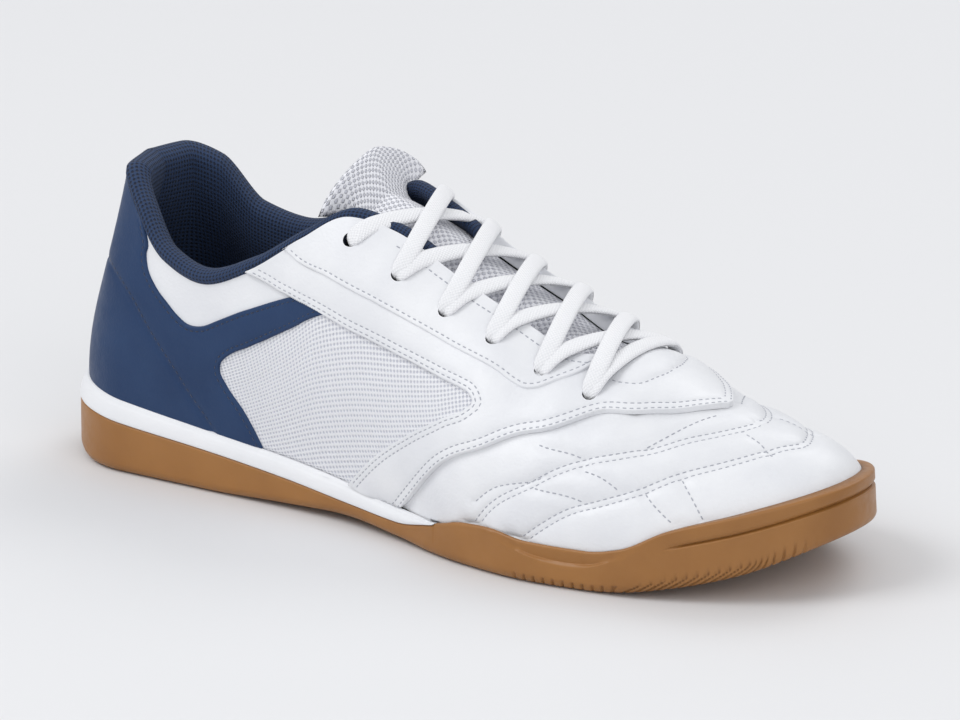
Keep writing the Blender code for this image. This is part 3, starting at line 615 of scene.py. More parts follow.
class Cover:
    """One leather layer on the upper: how high it lies, its cut edges, and the seams pressed into it."""

    def __init__(self, height, edges=(), edge_round=THIN_ROUND, shoulder=THIN_SHOULDER, foot=THIN_FOOT,
                 grooves=()):
        self.height = height
        self.edges = edges
        self.edge_round = edge_round
        self.shoulder = shoulder
        self.foot = foot
        self.grooves = grooves

    def depth(self, base, side):
        """Depth of the layer's face over points of the bare upper."""
        rise = np.full(len(base), self.height)
        if self.edges:
            lines = [surface(line, side) for line in self.edges]
            away = np.min([distance_to(base, line, 2 * self.edge_round) for line in lines], axis=0)
            near = np.clip((away - EDGE_WALL) / self.edge_round, 0, 1)
            rise = self.shoulder + (self.height - self.shoulder) * np.sqrt(1 - (1 - near) ** 2)
            rise = np.where(away < EDGE_WALL / 2, self.foot, rise)
        for line, deep, half in self.grooves:
            away = distance_to(base, surface(line, side), GROOVE_REACH * half)
            rise = rise - deep * np.exp(-((away / half) ** 2))
        return -rise


WIDE_FILL = 0.0022
FINE_FILL = 0.0020


def dense_lines(cover, side):
    """Lines that a panel's points follow, along its edges and its seams."""
    lines = []
    for edge in cover.edges:
        for step in EDGE_STEPS:
            for way in (-1, 1):
                lines.append((offset_line(edge, side, way * step), EDGE_GAP))
    for line, _, half in cover.grooves:
        for share in SEAM_STEPS:
            lines.append((offset_line(line, side, share * half), SEAM_GAP))
    return lines


def on_middle(places):
    """Which places lie on the line that both halves share: heel, toe or ridge."""
    share = station(np.interp(places[:, 0], CHART_RUNS, CHART_ALONGS))
    ridge = (places[:, 1] >= LEVEL_RUN - CHART_NUDGE) & (share >= THROAT_END - CURVED_BY)
    return ridge | (places[:, 0] <= CHART_NUDGE) | (places[:, 0] >= CHART_RUNS[-1] - CHART_NUDGE)


def layer(name, kind, loop, node, slot="white_leather", spacing=WIDE_FILL, rows=(), sides=SIDES, window=None):
    """A cover on both sides, or on one, punched at its eyelets and welded where its halves meet."""
    vertices, faces, uvs, choice = [], [], [], []
    total = 0
    for side in sides:
        cover = COVERS[kind][side]
        places, triangles = triangulate(loop, dense_lines(cover, side), spacing, eyelet_rings(side, rows))
        base = surface(places, side)
        depth = cover.depth(base, side)
        middle = on_middle(places)
        if middle.any():
            depth[middle] = COVERS[kind][SIDES[0]].depth(base[middle], side)
        vertices.append(surface(places, side, depth))
        uvs.append(places)
        flipped = triangles[:, ::-1] if side > 0 else triangles
        faces.append(flipped + total)
        if window is not None:
            choice.append(inside(places[triangles].mean(1), window).astype(int))
        total += len(places)
    materials = [MATERIALS[slot]] + ([MATERIALS["side_mesh"]] if choice else [])
    new_piece(name, np.concatenate(vertices), np.concatenate(faces), np.concatenate(uvs), materials, (node,),
              np.concatenate(choice) if choice else None, WELD)


# Materials
WHITE = (0.800, 0.808, 0.830)
SHADE_WHITE = (0.735, 0.745, 0.775)
NAVY = (0.020, 0.048, 0.122)
SHADE_NAVY = (0.016, 0.040, 0.106)
GUM = (0.345, 0.152, 0.036)
DEEP_GUM = (0.275, 0.115, 0.025)


class Paint:
    """A material whose nodes are added and linked by short calls."""

    def __init__(self, name):
        self.material = bpy.data.materials.new(name)
        self.material.use_nodes = True
        self.tree = self.material.node_tree
        self.shader = self.tree.nodes["Principled BSDF"]

    def node(self, kind, inputs=(), **settings):
        made = self.tree.nodes.new(kind)
        for key, value in settings.items():
            setattr(made, key, value)
        for key, value in dict(inputs).items():
            if isinstance(value, bpy.types.NodeSocket):
                self.tree.links.new(value, made.inputs[key])
            else:
                made.inputs[key].default_value = value
        return made

    def sum(self, operation, first, second=0.0):
        made = self.node("ShaderNodeMath", {0: first, 1: second}, operation=operation)
        return made.outputs[0]

    def mix(self, share, first, second):
        made = self.node("ShaderNodeMix", data_type="RGBA")
        self.tree.links.new(share, made.inputs["Factor"])
        made.inputs["A"].default_value = (*first, 1.0)
        made.inputs["B"].default_value = (*second, 1.0)
        return made.outputs["Result"]

    def spread(self, value, low, high, first=0.0, last=1.0):
        """A value spread from one range to another, held at its ends."""
        inputs = {"Value": value, "From Min": low, "From Max": high, "To Min": first, "To Max": last}
        return self.node("ShaderNodeMapRange", inputs).outputs["Result"]

    def noise(self, scale, detail=3.0, roughness=0.5):
        place = self.node("ShaderNodeTexCoord").outputs["Object"]
        inputs = {"Vector": place, "Scale": scale, "Detail": detail, "Roughness": roughness}
        return self.node("ShaderNodeTexNoise", inputs).outputs["Fac"]

    def pebbles(self, scale):
        place = self.node("ShaderNodeTexCoord").outputs["Object"]
        inputs = {"Vector": place, "Scale": scale}
        return self.node("ShaderNodeTexVoronoi", inputs, feature="SMOOTH_F1").outputs["Distance"]

    def bump(self, height, distance, strength=1.0, below=None):
        inputs = {"Height": height, "Distance": distance, "Strength": strength}
        if below is not None:
            inputs["Normal"] = below
        return self.node("ShaderNodeBump", inputs).outputs["Normal"]

    def to_shader(self, name, value):
        self.tree.links.new(value, self.shader.inputs[name])

    def set(self, values):
        for name, value in values.items():
            self.shader.inputs[name].default_value = value

    def wave(self, value):
        return self.sum("SINE", self.sum("MULTIPLY", value, 2 * math.pi))

    def tone(self, noise, dark, light):
        """Base colour that drifts between two tones."""
        grain, limits = noise
        self.to_shader("Base Color", self.mix(self.spread(self.noise(*grain), *limits), dark, light))

    def gloss(self, noise, roughness):
        """Roughness that drifts about a value."""
        grain, limits, (less, more) = noise
        value = self.spread(self.noise(*grain), *limits, roughness + less, roughness + more)
        self.to_shader("Roughness", value)

    def on_map(self, pitch, turn=0.0):
        """The piece's own map, turned and counted in pitches, as two outputs."""
        place = self.node("ShaderNodeUVMap", uv_map="map").outputs["UV"]
        inputs = {"Vector": place, "Rotation": (0.0, 0.0, math.radians(turn)),
                  "Scale": (1 / pitch, 1 / pitch, 1.0)}
        laid = self.node("ShaderNodeMapping", inputs).outputs["Vector"]
        split = self.node("ShaderNodeSeparateXYZ", {"Vector": laid})
        return split.outputs["X"], split.outputs["Y"]


# Noises are rows of scale, detail and roughness. A relief's second row is its depth in metres and strength.
LEATHER_TONE = ((45.0, 4.0), (0.35, 0.68))
LEATHER_PORES = (1150.0, 0.00006)
LEATHER_WRINKLES = ((420.0, 5.0, 0.6), (0.00009, 0.7))
LEATHER_FOLDS = ((70.0, 2.0), (0.00035, 0.6))
LEATHER_GLOSS = ((260.0, 3.0), (0.3, 0.7), (-0.05, 0.07))
COAT_ROUGHNESS = 0.35


def leather(name, light, dark, roughness, shine=0.5, coat=0.12):
    """Smooth leather with fine pores, soft creases and a thin finish."""
    paint = Paint(name)
    paint.tone(LEATHER_TONE, dark, light)
    scale, depth = LEATHER_PORES
    pores = paint.bump(paint.pebbles(scale), depth)
    wrinkles = paint.bump(paint.noise(*LEATHER_WRINKLES[0]), *LEATHER_WRINKLES[1], pores)
    folds = paint.bump(paint.noise(*LEATHER_FOLDS[0]), *LEATHER_FOLDS[1], wrinkles)
    paint.to_shader("Normal", folds)
    paint.gloss(LEATHER_GLOSS, roughness)
    paint.set({"Specular IOR Level": shine, "Coat Weight": coat, "Coat Roughness": COAT_ROUGHNESS})
    return paint.material


MESH_FUZZ = ((2600.0, 2.0), (0.0001, 0.5))
MESH_FUZZ_SHARE = 0.45
MESH_OPENS = (-0.45, 0.25)
MESH_ROUGHNESS = 0.85
SHEEN_ROUGHNESS = 0.5


def open_mesh(name, thread, hole, pitch, turn, relief, sheen=0.25):
    """Spacer mesh: rows of small holes between raised threads, laid out on the piece's map."""
    paint = Paint(name)
    cells = paint.sum("MULTIPLY", *[paint.wave(way) for way in paint.on_map(pitch, turn)])
    threads = paint.noise(*MESH_FUZZ[0])
    height = paint.sum("ADD", cells, paint.sum("MULTIPLY", threads, MESH_FUZZ_SHARE))
    open_share = paint.spread(height, *MESH_OPENS)
    paint.to_shader("Base Color", paint.mix(open_share, hole, thread))
    weave = paint.bump(open_share, relief)
    paint.to_shader("Normal", paint.bump(threads, *MESH_FUZZ[1], weave))
    paint.set({"Roughness": MESH_ROUGHNESS, "Sheen Weight": sheen, "Sheen Roughness": SHEEN_ROUGHNESS})
    return paint.material


CLOTH_WEAVE = (3.0, 0.7)
CLOTH_LIMITS = (0.35, 0.65)
CLOTH_RELIEF = (0.00025, 0.8)


def cloth(name, light, dark, scale, roughness=0.9, sheen=0.2):
    """Plain woven or brushed cloth."""
    paint = Paint(name)
    weave = paint.noise(scale, *CLOTH_WEAVE)
    paint.to_shader("Base Color", paint.mix(paint.spread(weave, *CLOTH_LIMITS), dark, light))
    paint.to_shader("Normal", paint.bump(weave, *CLOTH_RELIEF))
    paint.set({"Roughness": roughness, "Sheen Weight": sheen})
    return paint.material


BRAID_LIMITS = (-1.6, 1.6)
BRAID_RELIEF = 0.00014


def braid(name, light, dark, pitch):
    """Flat woven lace, with slanting threads on its map."""
    paint = Paint(name)
    u, v = paint.on_map(pitch)
    waves = [paint.wave(paint.sum(way, u, v)) for way in ("ADD", "SUBTRACT")]
    height = paint.spread(paint.sum("ADD", *waves), *BRAID_LIMITS)
    paint.to_shader("Base Color", paint.mix(height, dark, light))
    paint.to_shader("Normal", paint.bump(height, BRAID_RELIEF))
    paint.set({"Roughness": 0.8, "Sheen Weight": 0.3})
    return paint.material


RUBBER_TONE = ((38.0, 4.0), (0.3, 0.7))
RUBBER_GRAIN = ((1500.0, 3.0, 0.6), (0.00004, 0.8))
RUBBER_GLOSS = ((300.0, 3.0), (0.3, 0.7), (-0.06, 0.08))


def rubber(name, light, dark, roughness):
    """Moulded rubber or foam with a faint texture."""
    paint = Paint(name)
    paint.tone(RUBBER_TONE, dark, light)
    paint.to_shader("Normal", paint.bump(paint.noise(*RUBBER_GRAIN[0]), *RUBBER_GRAIN[1]))
    paint.gloss(RUBBER_GLOSS, roughness)
    return paint.material


# Each material's maker, and what it takes after the name: its light tone, its dark one, and its sizes
MATERIAL_ROWS = (
    ("white_leather", leather, WHITE, SHADE_WHITE, 0.42),
    ("navy_leather", leather, NAVY, SHADE_NAVY, 0.46, 0.22, 0.03),
    ("side_mesh", open_mesh, (0.840, 0.845, 0.880), (0.600, 0.615, 0.690), 0.0019, 25, 0.00034),
    ("tongue_mesh", open_mesh, (0.820, 0.825, 0.870), (0.580, 0.590, 0.660), 0.0026, 12, 0.00055),
    ("lining_mesh", open_mesh, (0.018, 0.042, 0.108), (0.004, 0.011, 0.034), 0.0018, 45, 0.00045, 0.04),
    # Lining cloth: partly its own navy, partly painted shade, darkened near black for the shade inside the
    # shoe.
    ("lining_cloth", cloth, (0.006, 0.014, 0.038), (0.003, 0.008, 0.022), 1400.0, 0.9, 0.0),
    ("insole_cloth", cloth, (0.030, 0.060, 0.130), (0.014, 0.030, 0.075), 1800.0),
    # Thread colour: the real thread is white; its grey tones are painted shade of the stitch holes.
    ("white_thread", cloth, (0.500, 0.515, 0.560), (0.360, 0.375, 0.430), 3000.0, 0.7),
    ("navy_thread", cloth, (0.010, 0.022, 0.060), (0.004, 0.010, 0.030), 3000.0, 0.7),
    ("lace_braid", braid, (0.870, 0.872, 0.890), (0.790, 0.795, 0.820), 0.0012),
    ("white_foam", rubber, (0.820, 0.826, 0.845), (0.770, 0.780, 0.805), 0.48),
    ("gum_rubber", rubber, GUM, DEEP_GUM, 0.42),
)
MATERIALS = {name: make(name, *sizes) for name, make, *sizes in MATERIAL_ROWS}


# Seams of the upper: share of the length and level. Each runs from the collar or heel to the front.
COUNTER_TOP = ((0.113, 1.000), (0.123, 0.945), (0.1215, 0.870), (0.127, 0.815), (0.141, 0.785),
               (0.158, 0.752), (0.174, 0.711), (0.188, 0.688), (0.203, 0.700), (0.222, 0.740),
               (0.262, 0.775), (0.314, 0.750), (0.335, 0.735))
COUNTER_LOW = ((0.385, 0.640), (0.369, 0.619), (0.342, 0.600), (0.305, 0.575), (0.269, 0.546),
               (0.246, 0.508), (0.236, 0.460), (0.236, 0.410), (0.248, 0.310), (0.274, 0.169),
               (0.298, 0.010), (0.318, -0.150))
HEEL_SEAM = ((0.000, 0.575), (0.039, 0.585), (0.075, 0.582), (0.104, 0.560), (0.136, 0.494), (0.166, 0.378),
             (0.203, 0.165), (0.232, 0.000))
STRAP_LOW = ((0.253, 1.000), (0.269, 0.940), (0.286, 0.868), (0.302, 0.799), (0.322, 0.735), (0.342, 0.679),
             (0.364, 0.634), (0.382, 0.615), (0.402, 0.603), (0.420, 0.599), (0.446, 0.603), (0.470, 0.611),
             (0.514, 0.619), (0.564, 0.615), (0.582, 0.605), (0.595, 0.591), (0.601, 0.560), (0.595, 0.520),
             (0.570, 0.462), (0.538, 0.386), (0.505, 0.300), (0.475, 0.209), (0.445, 0.100), (0.420, -0.003),
             (0.395, -0.150))
EYESTAY_LOW = ((0.300, 1.000), (0.324, 0.888), (0.354, 0.795), (0.382, 0.755), (0.407, 0.741), (0.436, 0.739),
               (0.488, 0.753), (0.543, 0.757), (0.593, 0.742), (0.616, 0.733), (0.636, 0.717), (0.648, 0.716),
               (0.658, 0.737), (0.676, 0.815), (0.695, 0.890), (0.708, 1.000))
EYESTAY_UNDER = ((0.325, 1.000), (0.350, 0.920), (0.390, 0.850), (0.450, 0.830), (0.540, 0.840),
                 (0.598, 0.815), (0.636, 0.800), (0.655, 0.870), (0.670, 0.920), (0.690, 1.000))
ROW_ONE = ((0.470, -0.150), (0.502, 0.005), (0.530, 0.120), (0.561, 0.237), (0.623, 0.374), (0.670, 0.535),
           (0.714, 0.599), (0.763, 0.642), (0.795, 0.703), (0.832, 0.782), (0.858, 0.870), (0.873, 0.935),
           (0.881, 0.972), (0.883, 1.000))
ROW_TWO = ((0.605, -0.080), (0.633, 0.073), (0.665, 0.215), (0.698, 0.325), (0.738, 0.390), (0.785, 0.470),
           (0.828, 0.551), (0.870, 0.650), (0.905, 0.760), (0.932, 0.860), (0.948, 0.930), (0.954, 0.970),
           (0.956, 1.000))
ROW_THREE = ((0.668, -0.080), (0.695, 0.040), (0.725, 0.140), (0.758, 0.209), (0.797, 0.275), (0.838, 0.335),
             (0.880, 0.400), (0.927, 0.490), (0.965, 0.575), (0.988, 0.618), (1.000, 0.625))
THROAT_SEAM = ((0.702, 0.880), (0.714, 0.831), (0.735, 0.770), (0.756, 0.791), (0.770, 0.870), (0.778, 0.940),
               (0.780, 1.000))
SIDE_SEAM = ((0.618, 0.110), (0.645, 0.215), (0.668, 0.275), (0.700, 0.335))
QUILTING = (
    ((0.683, 0.494), (0.710, 0.446), (0.735, 0.402)),
    ((0.740, 0.350), (0.765, 0.338), (0.791, 0.290)),
    ((0.690, 0.274), (0.719, 0.245), (0.754, 0.217)),
    ((0.800, 0.520), (0.834, 0.667), (0.873, 0.860)),
    ((0.769, 0.670), (0.774, 0.771), (0.783, 0.960)),
    ((0.920, 0.735), (0.945, 0.640), (0.960, 0.505)),
    ((0.816, 0.285), (0.835, 0.160), (0.855, 0.029)),
    ((0.851, 0.330), (0.870, 0.170), (0.885, 0.010)),
)
WINDOW = ((0.300, -0.250), (0.262, 0.220), (0.230, 0.400), (0.230, 0.460), (0.256, 0.560), (0.310, 0.650),
          (0.370, 0.680), (0.423, 0.640), (0.520, 0.645), (0.590, 0.640), (0.609, 0.600), (0.610, 0.550),
          (0.600, 0.500), (0.545, 0.365), (0.482, 0.190), (0.428, -0.050), (0.405, -0.250))
HIDDEN_LEVEL = -0.25
LEVEL_LINE_ROWS = 60
MIDDLE_ROWS = 8
COUNTER_HEIGHT = 0.0010
STRAP_HEIGHT = 0.0019
EYESTAY_HEIGHT = 0.0028
SHOULDER = 0.0007
EYESTAY_FRONT = 0.700


def level_line(first, last, level):
    """A line at one level of the chart, between two shares of the length."""
    count = max(3, int(abs(last - first) * LEVEL_LINE_ROWS))
    return seam(*[(share, level) for share in np.linspace(first, last, count)])


def top_line(first, last):
    return level_line(first, last, 1.0)


def low_line(first, last):
    """A line hidden behind the sole's rim."""
    return level_line(first, last, HIDDEN_LEVEL)


def front_line(first, last, share):
    """A line up the heel's or toe's middle."""
    return seam(*[(share, level) for level in np.linspace(first, last, MIDDLE_ROWS)])


# Eyelets: rows from the top of the throat to its front, at even shares of the length
EYELETS = 6
EYELET_FIRST = 0.405
EYELET_LAST = 0.716
EYELET_HALF_SPAN = 0.0240
EYELET_HOLE = 0.0048
EYELET_POINTS = 20
FIND_START, FIND_TOP = 0.85, 0.99
FIND_TRIES = 12
FIND_NUDGE = 1e-3
FIND_REACH = 0.05


def find_on_skin(x, y, side):
    """Place on the upper that lies over a point of the floor plan."""
    place = np.array([float(along_of(x / LENGTH)), FIND_START])
    for _ in range(FIND_TRIES):
        here = skin(place[0], side, place[1])
        along = (skin(place[0] + FIND_NUDGE, side, place[1]) - here) / FIND_NUDGE
        level = (skin(place[0], side, place[1] - FIND_NUDGE) - here) / -FIND_NUDGE
        slopes = np.array([along[:2], level[:2]]).T
        step = np.linalg.solve(slopes, np.array([x, y]) - here[:2])
        place = place + np.clip(step, -FIND_REACH, FIND_REACH)
        place[1] = min(place[1], FIND_TOP)
    return place


def eyelet_spots(side):
    """Places of one side's eyelets on the chart."""
    spots = []
    for share in np.linspace(EYELET_FIRST, EYELET_LAST, EYELETS):
        along, level = find_on_skin(share * LENGTH, side * EYELET_HALF_SPAN, side)
        spots.append((np.interp(along, CHART_ALONGS, CHART_RUNS), level * LEVEL_RUN))
    return np.array(spots)


EYELET_SPOTS = {side: eyelet_spots(side) for side in SIDES}


def ring_at(spot, side, radius):
    """A round ring on the surface about a place."""
    along, upward = slopes_at(spot[None], side)
    along = unit(along[0])
    upward = unit(upward[0] - along * np.dot(upward[0], along))
    turns = np.linspace(0, 2 * math.pi, EYELET_POINTS, endpoint=False)[:, None]
    steps = radius * (np.cos(turns) * along + np.sin(turns) * upward)
    return moved(np.repeat(spot[None], EYELET_POINTS, 0), side, steps)


def eyelet_rings(side, rows):
    return [ring_at(EYELET_SPOTS[side][row], side, EYELET_HOLE / 2) for row in rows]


# Leather and mesh of the upper
ROW_HALF = 0.0010
STITCH_DEPTH = 0.00022
STITCH_HALF = 0.00045
PUFF_DEPTH = 0.00095
PUFF_HALF = 0.0030
QUILT_DEPTH = 0.00060
QUILT_HALF = 0.0020


def stitched(line, side, offsets):
    """Grooves that rows of stitches press into the leather beside a line."""
    return [(offset_line(line, side, offset), STITCH_DEPTH, STITCH_HALF) for offset in offsets]


def vamp_cover(side):
    """Bare upper with its quilted vamp."""
    grooves = []
    for row in (ROW_TWO, ROW_THREE):
        line = seam(*row)
        grooves.append((line, PUFF_DEPTH, PUFF_HALF))
        grooves += stitched(line, side, (-ROW_HALF, ROW_HALF))
    side_seam = seam(*SIDE_SEAM)
    grooves.append((side_seam, QUILT_DEPTH, QUILT_HALF))
    grooves += stitched(side_seam, side, (0.0,))
    for row in QUILTING:
        grooves.append((seam(*row), QUILT_DEPTH, QUILT_HALF))
    grooves.append((seam(*ROW_ONE), QUILT_DEPTH, PUFF_HALF))
    return Cover(0.0, grooves=grooves)


STRAP_STITCHES = (0.0014, 0.0031)
STRAP_PUFF = (0.0004, 0.0024)
HEEL_PRESSED = (0.0005, 0.0009)
HEEL_STITCH = 0.0013
EDGE_ROUND = 0.0009
EDGE_STITCH = 0.0016
THROAT_STITCH = 0.0034
THROAT_ROW = (0.43, THROAT_END - 0.004)


def counter_cover(side):
    """Heel counter, with its seam and the stitches along the arm."""
    edges = (seam(*COUNTER_TOP), seam(*COUNTER_LOW))
    heel = seam(*HEEL_SEAM)
    grooves = [(heel, *HEEL_PRESSED)]
    for edge in edges:
        grooves += stitched(edge, side, (-EDGE_STITCH,))
    grooves += stitched(heel, side, (HEEL_STITCH,))
    return Cover(COUNTER_HEIGHT, edges, grooves=grooves)


def strap_cover(side):
    """Band from the collar to the sole, with two rows of stitches along its lower edge."""
    low, front = seam(*STRAP_LOW), seam(*ROW_ONE)
    grooves = stitched(low, side, STRAP_STITCHES) + stitched(front, side, (ROW_HALF, 3 * ROW_HALF))
    grooves.append((offset_line(front, side, 2 * ROW_HALF), *STRAP_PUFF))
    grooves += stitched(seam(*THROAT_SEAM), side, (0.0,))
    grooves.append((seam(*THROAT_SEAM), QUILT_DEPTH, QUILT_HALF))
    return Cover(STRAP_HEIGHT, (low, front), EDGE_ROUND, STRAP_HEIGHT - SHOULDER, grooves=grooves)


def throat_line(side):
    """Row of stitches beside the throat's edge, from its top round its front."""
    edge = top_line(*THROAT_ROW)
    return offset_line(edge - np.array([0.0, 4 * CHART_NUDGE]), side, -THROAT_STITCH)


def eyestay_cover(side):
    low = seam(*EYESTAY_LOW)
    grooves = stitched(low, side, (EDGE_STITCH,))
    shoulder = (STRAP_HEIGHT + EYESTAY_HEIGHT) / 2
    return Cover(EYESTAY_HEIGHT, (low,), EDGE_ROUND, shoulder, STRAP_HEIGHT - SHOULDER, grooves)


COVER_MAKERS = {"vamp": vamp_cover, "counter": counter_cover, "strap": strap_cover, "eyestay": eyestay_cover}
COVERS = {kind: {side: make(side) for side in SIDES} for kind, make in COVER_MAKERS.items()}


def make_vamp():
    loop = joined(low_line(0, 1), front_line(HIDDEN_LEVEL, 1, 1.0), top_line(1, 0),
                  front_line(1, HIDDEN_LEVEL, 0.0))
    layer("upper_body", "vamp", loop, "upper", spacing=FINE_FILL, rows=range(EYELETS), window=chart(WINDOW))


def make_counter():
    loop = joined(seam(*COUNTER_TOP), seam(*COUNTER_LOW), low_line(0.318, 0),
                  front_line(HIDDEN_LEVEL, 1, 0.0), top_line(0, 0.113))
    layer("heel_counter_cover", "counter", loop, "heel_counter", "navy_leather")


def make_strap():
    loop = joined(seam(*STRAP_LOW), low_line(0.385, 0.470), seam(*ROW_ONE), top_line(0.883, 0.690),
                  seam(*EYESTAY_UNDER)[::-1], top_line(0.325, 0.253))
    layer("quarter_band", "strap", loop, "quarter_strap", rows=(EYELETS - 1,))


def make_eyestays():
    loop = joined(seam(*EYESTAY_LOW), top_line(0.708, 0.300))
    for side in SIDES:
        node = f"eyestay_{SIDE_NAMES[side]}"
        layer(f"{node}_cover", "eyestay", loop, node, spacing=FINE_FILL, rows=range(EYELETS - 1),
              sides=(side,))


def strip_faces(rows, columns, closed=False):
    """Faces of a grid of points, its columns joined round if it is closed."""
    faces = []
    for row in range(rows - 1):
        for column in range(columns if closed else columns - 1):
            after = (column + 1) % columns
            here, there = row * columns, (row + 1) * columns
            faces.append((here + column, there + column, there + after, here + after))
    return faces


def grid_map(points):
    """Map of a grid of points in metres along and across it."""
    points = np.asarray(points)
    along = np.linalg.norm(np.diff(points, axis=0), axis=2).mean(1)
    across = np.linalg.norm(np.diff(points, axis=1), axis=2).mean(0)
    u, v = (np.concatenate([[0.0], np.cumsum(steps)]) for steps in (along, across))
    return np.stack(np.meshgrid(u, v, indexing="ij"), -1).reshape(-1, 2)


def grids_piece(name, grids, material, nodes=(), closed=False, weld=WELD, back=None):
    """One piece from grids of points. Each comes with True where its faces turn the other way.

    A second material goes to the grids after the first.
    """
    vertices, faces, uvs, choice = [], [], [], []
    total = 0
    for number, (points, flipped) in enumerate(grids):
        rows, columns = points.shape[:2]
        made = strip_faces(rows, columns, closed)
        faces += [tuple(total + i for i in (face[::-1] if flipped else face)) for face in made]
        choice += [min(number, 1)] * len(made)
        vertices.append(points.reshape(-1, 3))
        uvs.append(grid_map(points))
        total += rows * columns
    materials = [MATERIALS[kind] for kind in (material, back) if kind]
    return new_piece(name, np.concatenate(vertices), faces, np.concatenate(uvs), materials, nodes,
                     choice if back else None, weld)


def rising_at(alongs, side):
    """Way that the upper's surface leaves its top line."""
    top = skin(alongs, side, 1.0)
    return unit(top - skin(alongs, side, 1.0 - 100 * CURVED_BY))


RIM_POINTS = 12
RIM_BULGE = 0.0006
RIM_ROWS = 140
RIM_TOP = 0.300


def make_throat_edge():
    """Turned edge of the leather round the throat."""
    shares = np.linspace(RIM_TOP, THROAT_END, RIM_ROWS)
    alongs = along_of(shares)
    grids = []
    for side in SIDES:
        rising = rising_at(alongs, side)
        outer = np.where(shares < EYESTAY_FRONT, EYESTAY_HEIGHT, STRAP_HEIGHT)
        columns = []
        for turn in np.linspace(0, math.pi, RIM_POINTS):
            depth = -outer + (outer + WALL) * (1 - math.cos(turn)) / 2
            columns.append(skin(alongs, side, 1.0, depth) + rising * RIM_BULGE * math.sin(turn))
        grids.append((np.stack(columns, 1), side > 0))
    grids_piece("throat_edge", grids, "white_leather")


LINING_LEVELS = np.linspace(-1.0, 1.0, 30)
LINING_ROWS = 160


def make_lining():
    """Cloth inside the upper, its navy darkened with painted shade."""
    alongs = np.linspace(0, 1, LINING_ROWS)
    grids = []
    for side in SIDES:
        points = skin(alongs[:, None], side, LINING_LEVELS[None, :], WALL + 0 * alongs[:, None])
        grids.append((points, side < 0))
    grids_piece("upper_lining", grids, "lining_cloth")


# Padded collar: its sizes in the solids, and the section of its roll as depth and rise in metres
PADDING = 0.0050
PADDING_THINS = 0.22
COLLAR_TAIL = 0.47
TAIL_START = 0.28
TAIL_LIFT = 0.0008
ROLL_SECTION = ((-0.0002, -0.0006), (-0.0012, 0.0005), (-0.0016, 0.0018), (-0.0008, 0.0032), (0.0012, 0.0042),
                (0.0037, 0.0042), (0.0060, 0.0030), (0.0073, 0.0008))
ROLL_SWELL = ((1.0, 1.0), (0.88, 1.05), (0.75, 0.86), (0.63, 0.58), (0.51, 0.28), (0.42, 0.04))
COLLAR_ROWS = 150
HEEL_ROWS = 30
HEEL_PART = 0.06
PADDING_LOST = 0.8
TAIL_LOST = 0.85
LINING_CLEAR = 0.0002
SECTION_POINTS = 34


def make_collar():
    """Padded lining that rolls over the top edge, and its thin tail beside the throat."""
    shares = np.concatenate([np.linspace(0, 1, HEEL_ROWS) ** 2 * HEEL_PART,
                             np.linspace(HEEL_PART, COLLAR_TAIL, COLLAR_ROWS)[1:]])
    alongs = along_of(shares)
    fade = np.clip((shares - PADDING_THINS) / (COLLAR_END - PADDING_THINS), 0, 1)
    tail = np.clip((shares - TAIL_START) / (COLLAR_TAIL - TAIL_START), 0, 1)
    tail_rise = np.clip((shares - TAIL_START) / (COLLAR_END - TAIL_START), 0, 1)
    thick = WALL + PADDING * (1 - PADDING_LOST * fade)
    full = WALL + PADDING
    grids = []
    for side in SIDES:
        rising = rising_at(alongs, side)
        columns = []
        for depth, rise in ROLL_SECTION:
            deep = depth * np.where(depth > 0, thick / full, 1.0)
            lift = rise + TAIL_LIFT * tail_rise
            columns.append(skin(alongs, side, 1.0, deep + 0 * alongs) + rising * lift[:, None])
        for level, swell in ROLL_SWELL:
            low = 1 - (1 - level) * (1 - TAIL_LOST * tail)
            columns.append(skin(alongs, side, low, WALL + LINING_CLEAR + swell * (thick - WALL)))
        rough = np.stack(columns, 1)
        points = np.stack([smooth_section(row) for row in rough])
        grids.append((points, side > 0))
    collar = grids_piece("collar_padding", grids, "lining_mesh", ("padded_collar",))


def smooth_section(row):
    """Even points along a smooth curve through one section."""
    chords = travelled_along(row)
    return even_row(rounded(row, chords, np.linspace(0, chords[-1], 4 * SECTION_POINTS)), SECTION_POINTS)


# Tongue, from the same rows as its solid, with a finer mesh and a soft pillow's edge
TONGUE = 0.0040
TONGUE_RISE = 0.017
TONGUE_WIDTH = 0.061
TONGUE_ROWS = Table(("at", "sink", "reach", "crown"), (
    (0.375, 0.62, 0.98, 0.075),
    (0.42, 0.42, 0.93, 0.070),
    (0.48, 0.15, 0.86, 0.060),
    (0.55, 0.10, 0.82, 0.050),
    (0.61, 0.10, 0.82, 0.042),
    (0.68, 0.10, 0.83, 0.030),
    (0.74, 0.10, 0.85, 0.000),
    (0.79, 0.10, 0.86, 0.000),
))
TONGUE_POINTS = 41
TONGUE_STEPS = 70
TONGUE_TOP_ROWS = 24
TONGUE_LEAN = (-0.58, 0.80)
TONGUE_SHIFT = 0.006
TONGUE_CORNER = 0.42
TONGUE_CORNER_POWER = 3
TONGUE_PINCH = 0.36
TONGUE_SINKS = 0.72
TONGUE_PUFF = 0.0008
TONGUE_LOWERED = 0.46
TONGUE_LEVELS = 5
TONGUE_SHIFT_POWER = 1.5
TONGUE_EDGE_POWER = 10
TONGUE_END_POWER = 60
TONGUE_PUFF_POWER = 4


def tongue_row(share, depth, reach, crown):
    """One arched section of the tongue, from edge to edge under the throat."""
    along = along_of(share)
    levels = np.linspace(reach, 1.0, TONGUE_LEVELS)
    lateral = skin(along, -1, levels, depth + 0 * levels)
    medial = skin(along, 1, levels, depth + 0 * levels)
    middle = (lateral[-1] + medial[-1]) / 2
    middle[2] += crown
    gap = np.linalg.norm(lateral[-1] - medial[-1])
    arch = [middle] if gap > 4 * TONGUE else []
    return smooth_row(np.array([*lateral, *arch, *medial[::-1]]), TONGUE_POINTS)


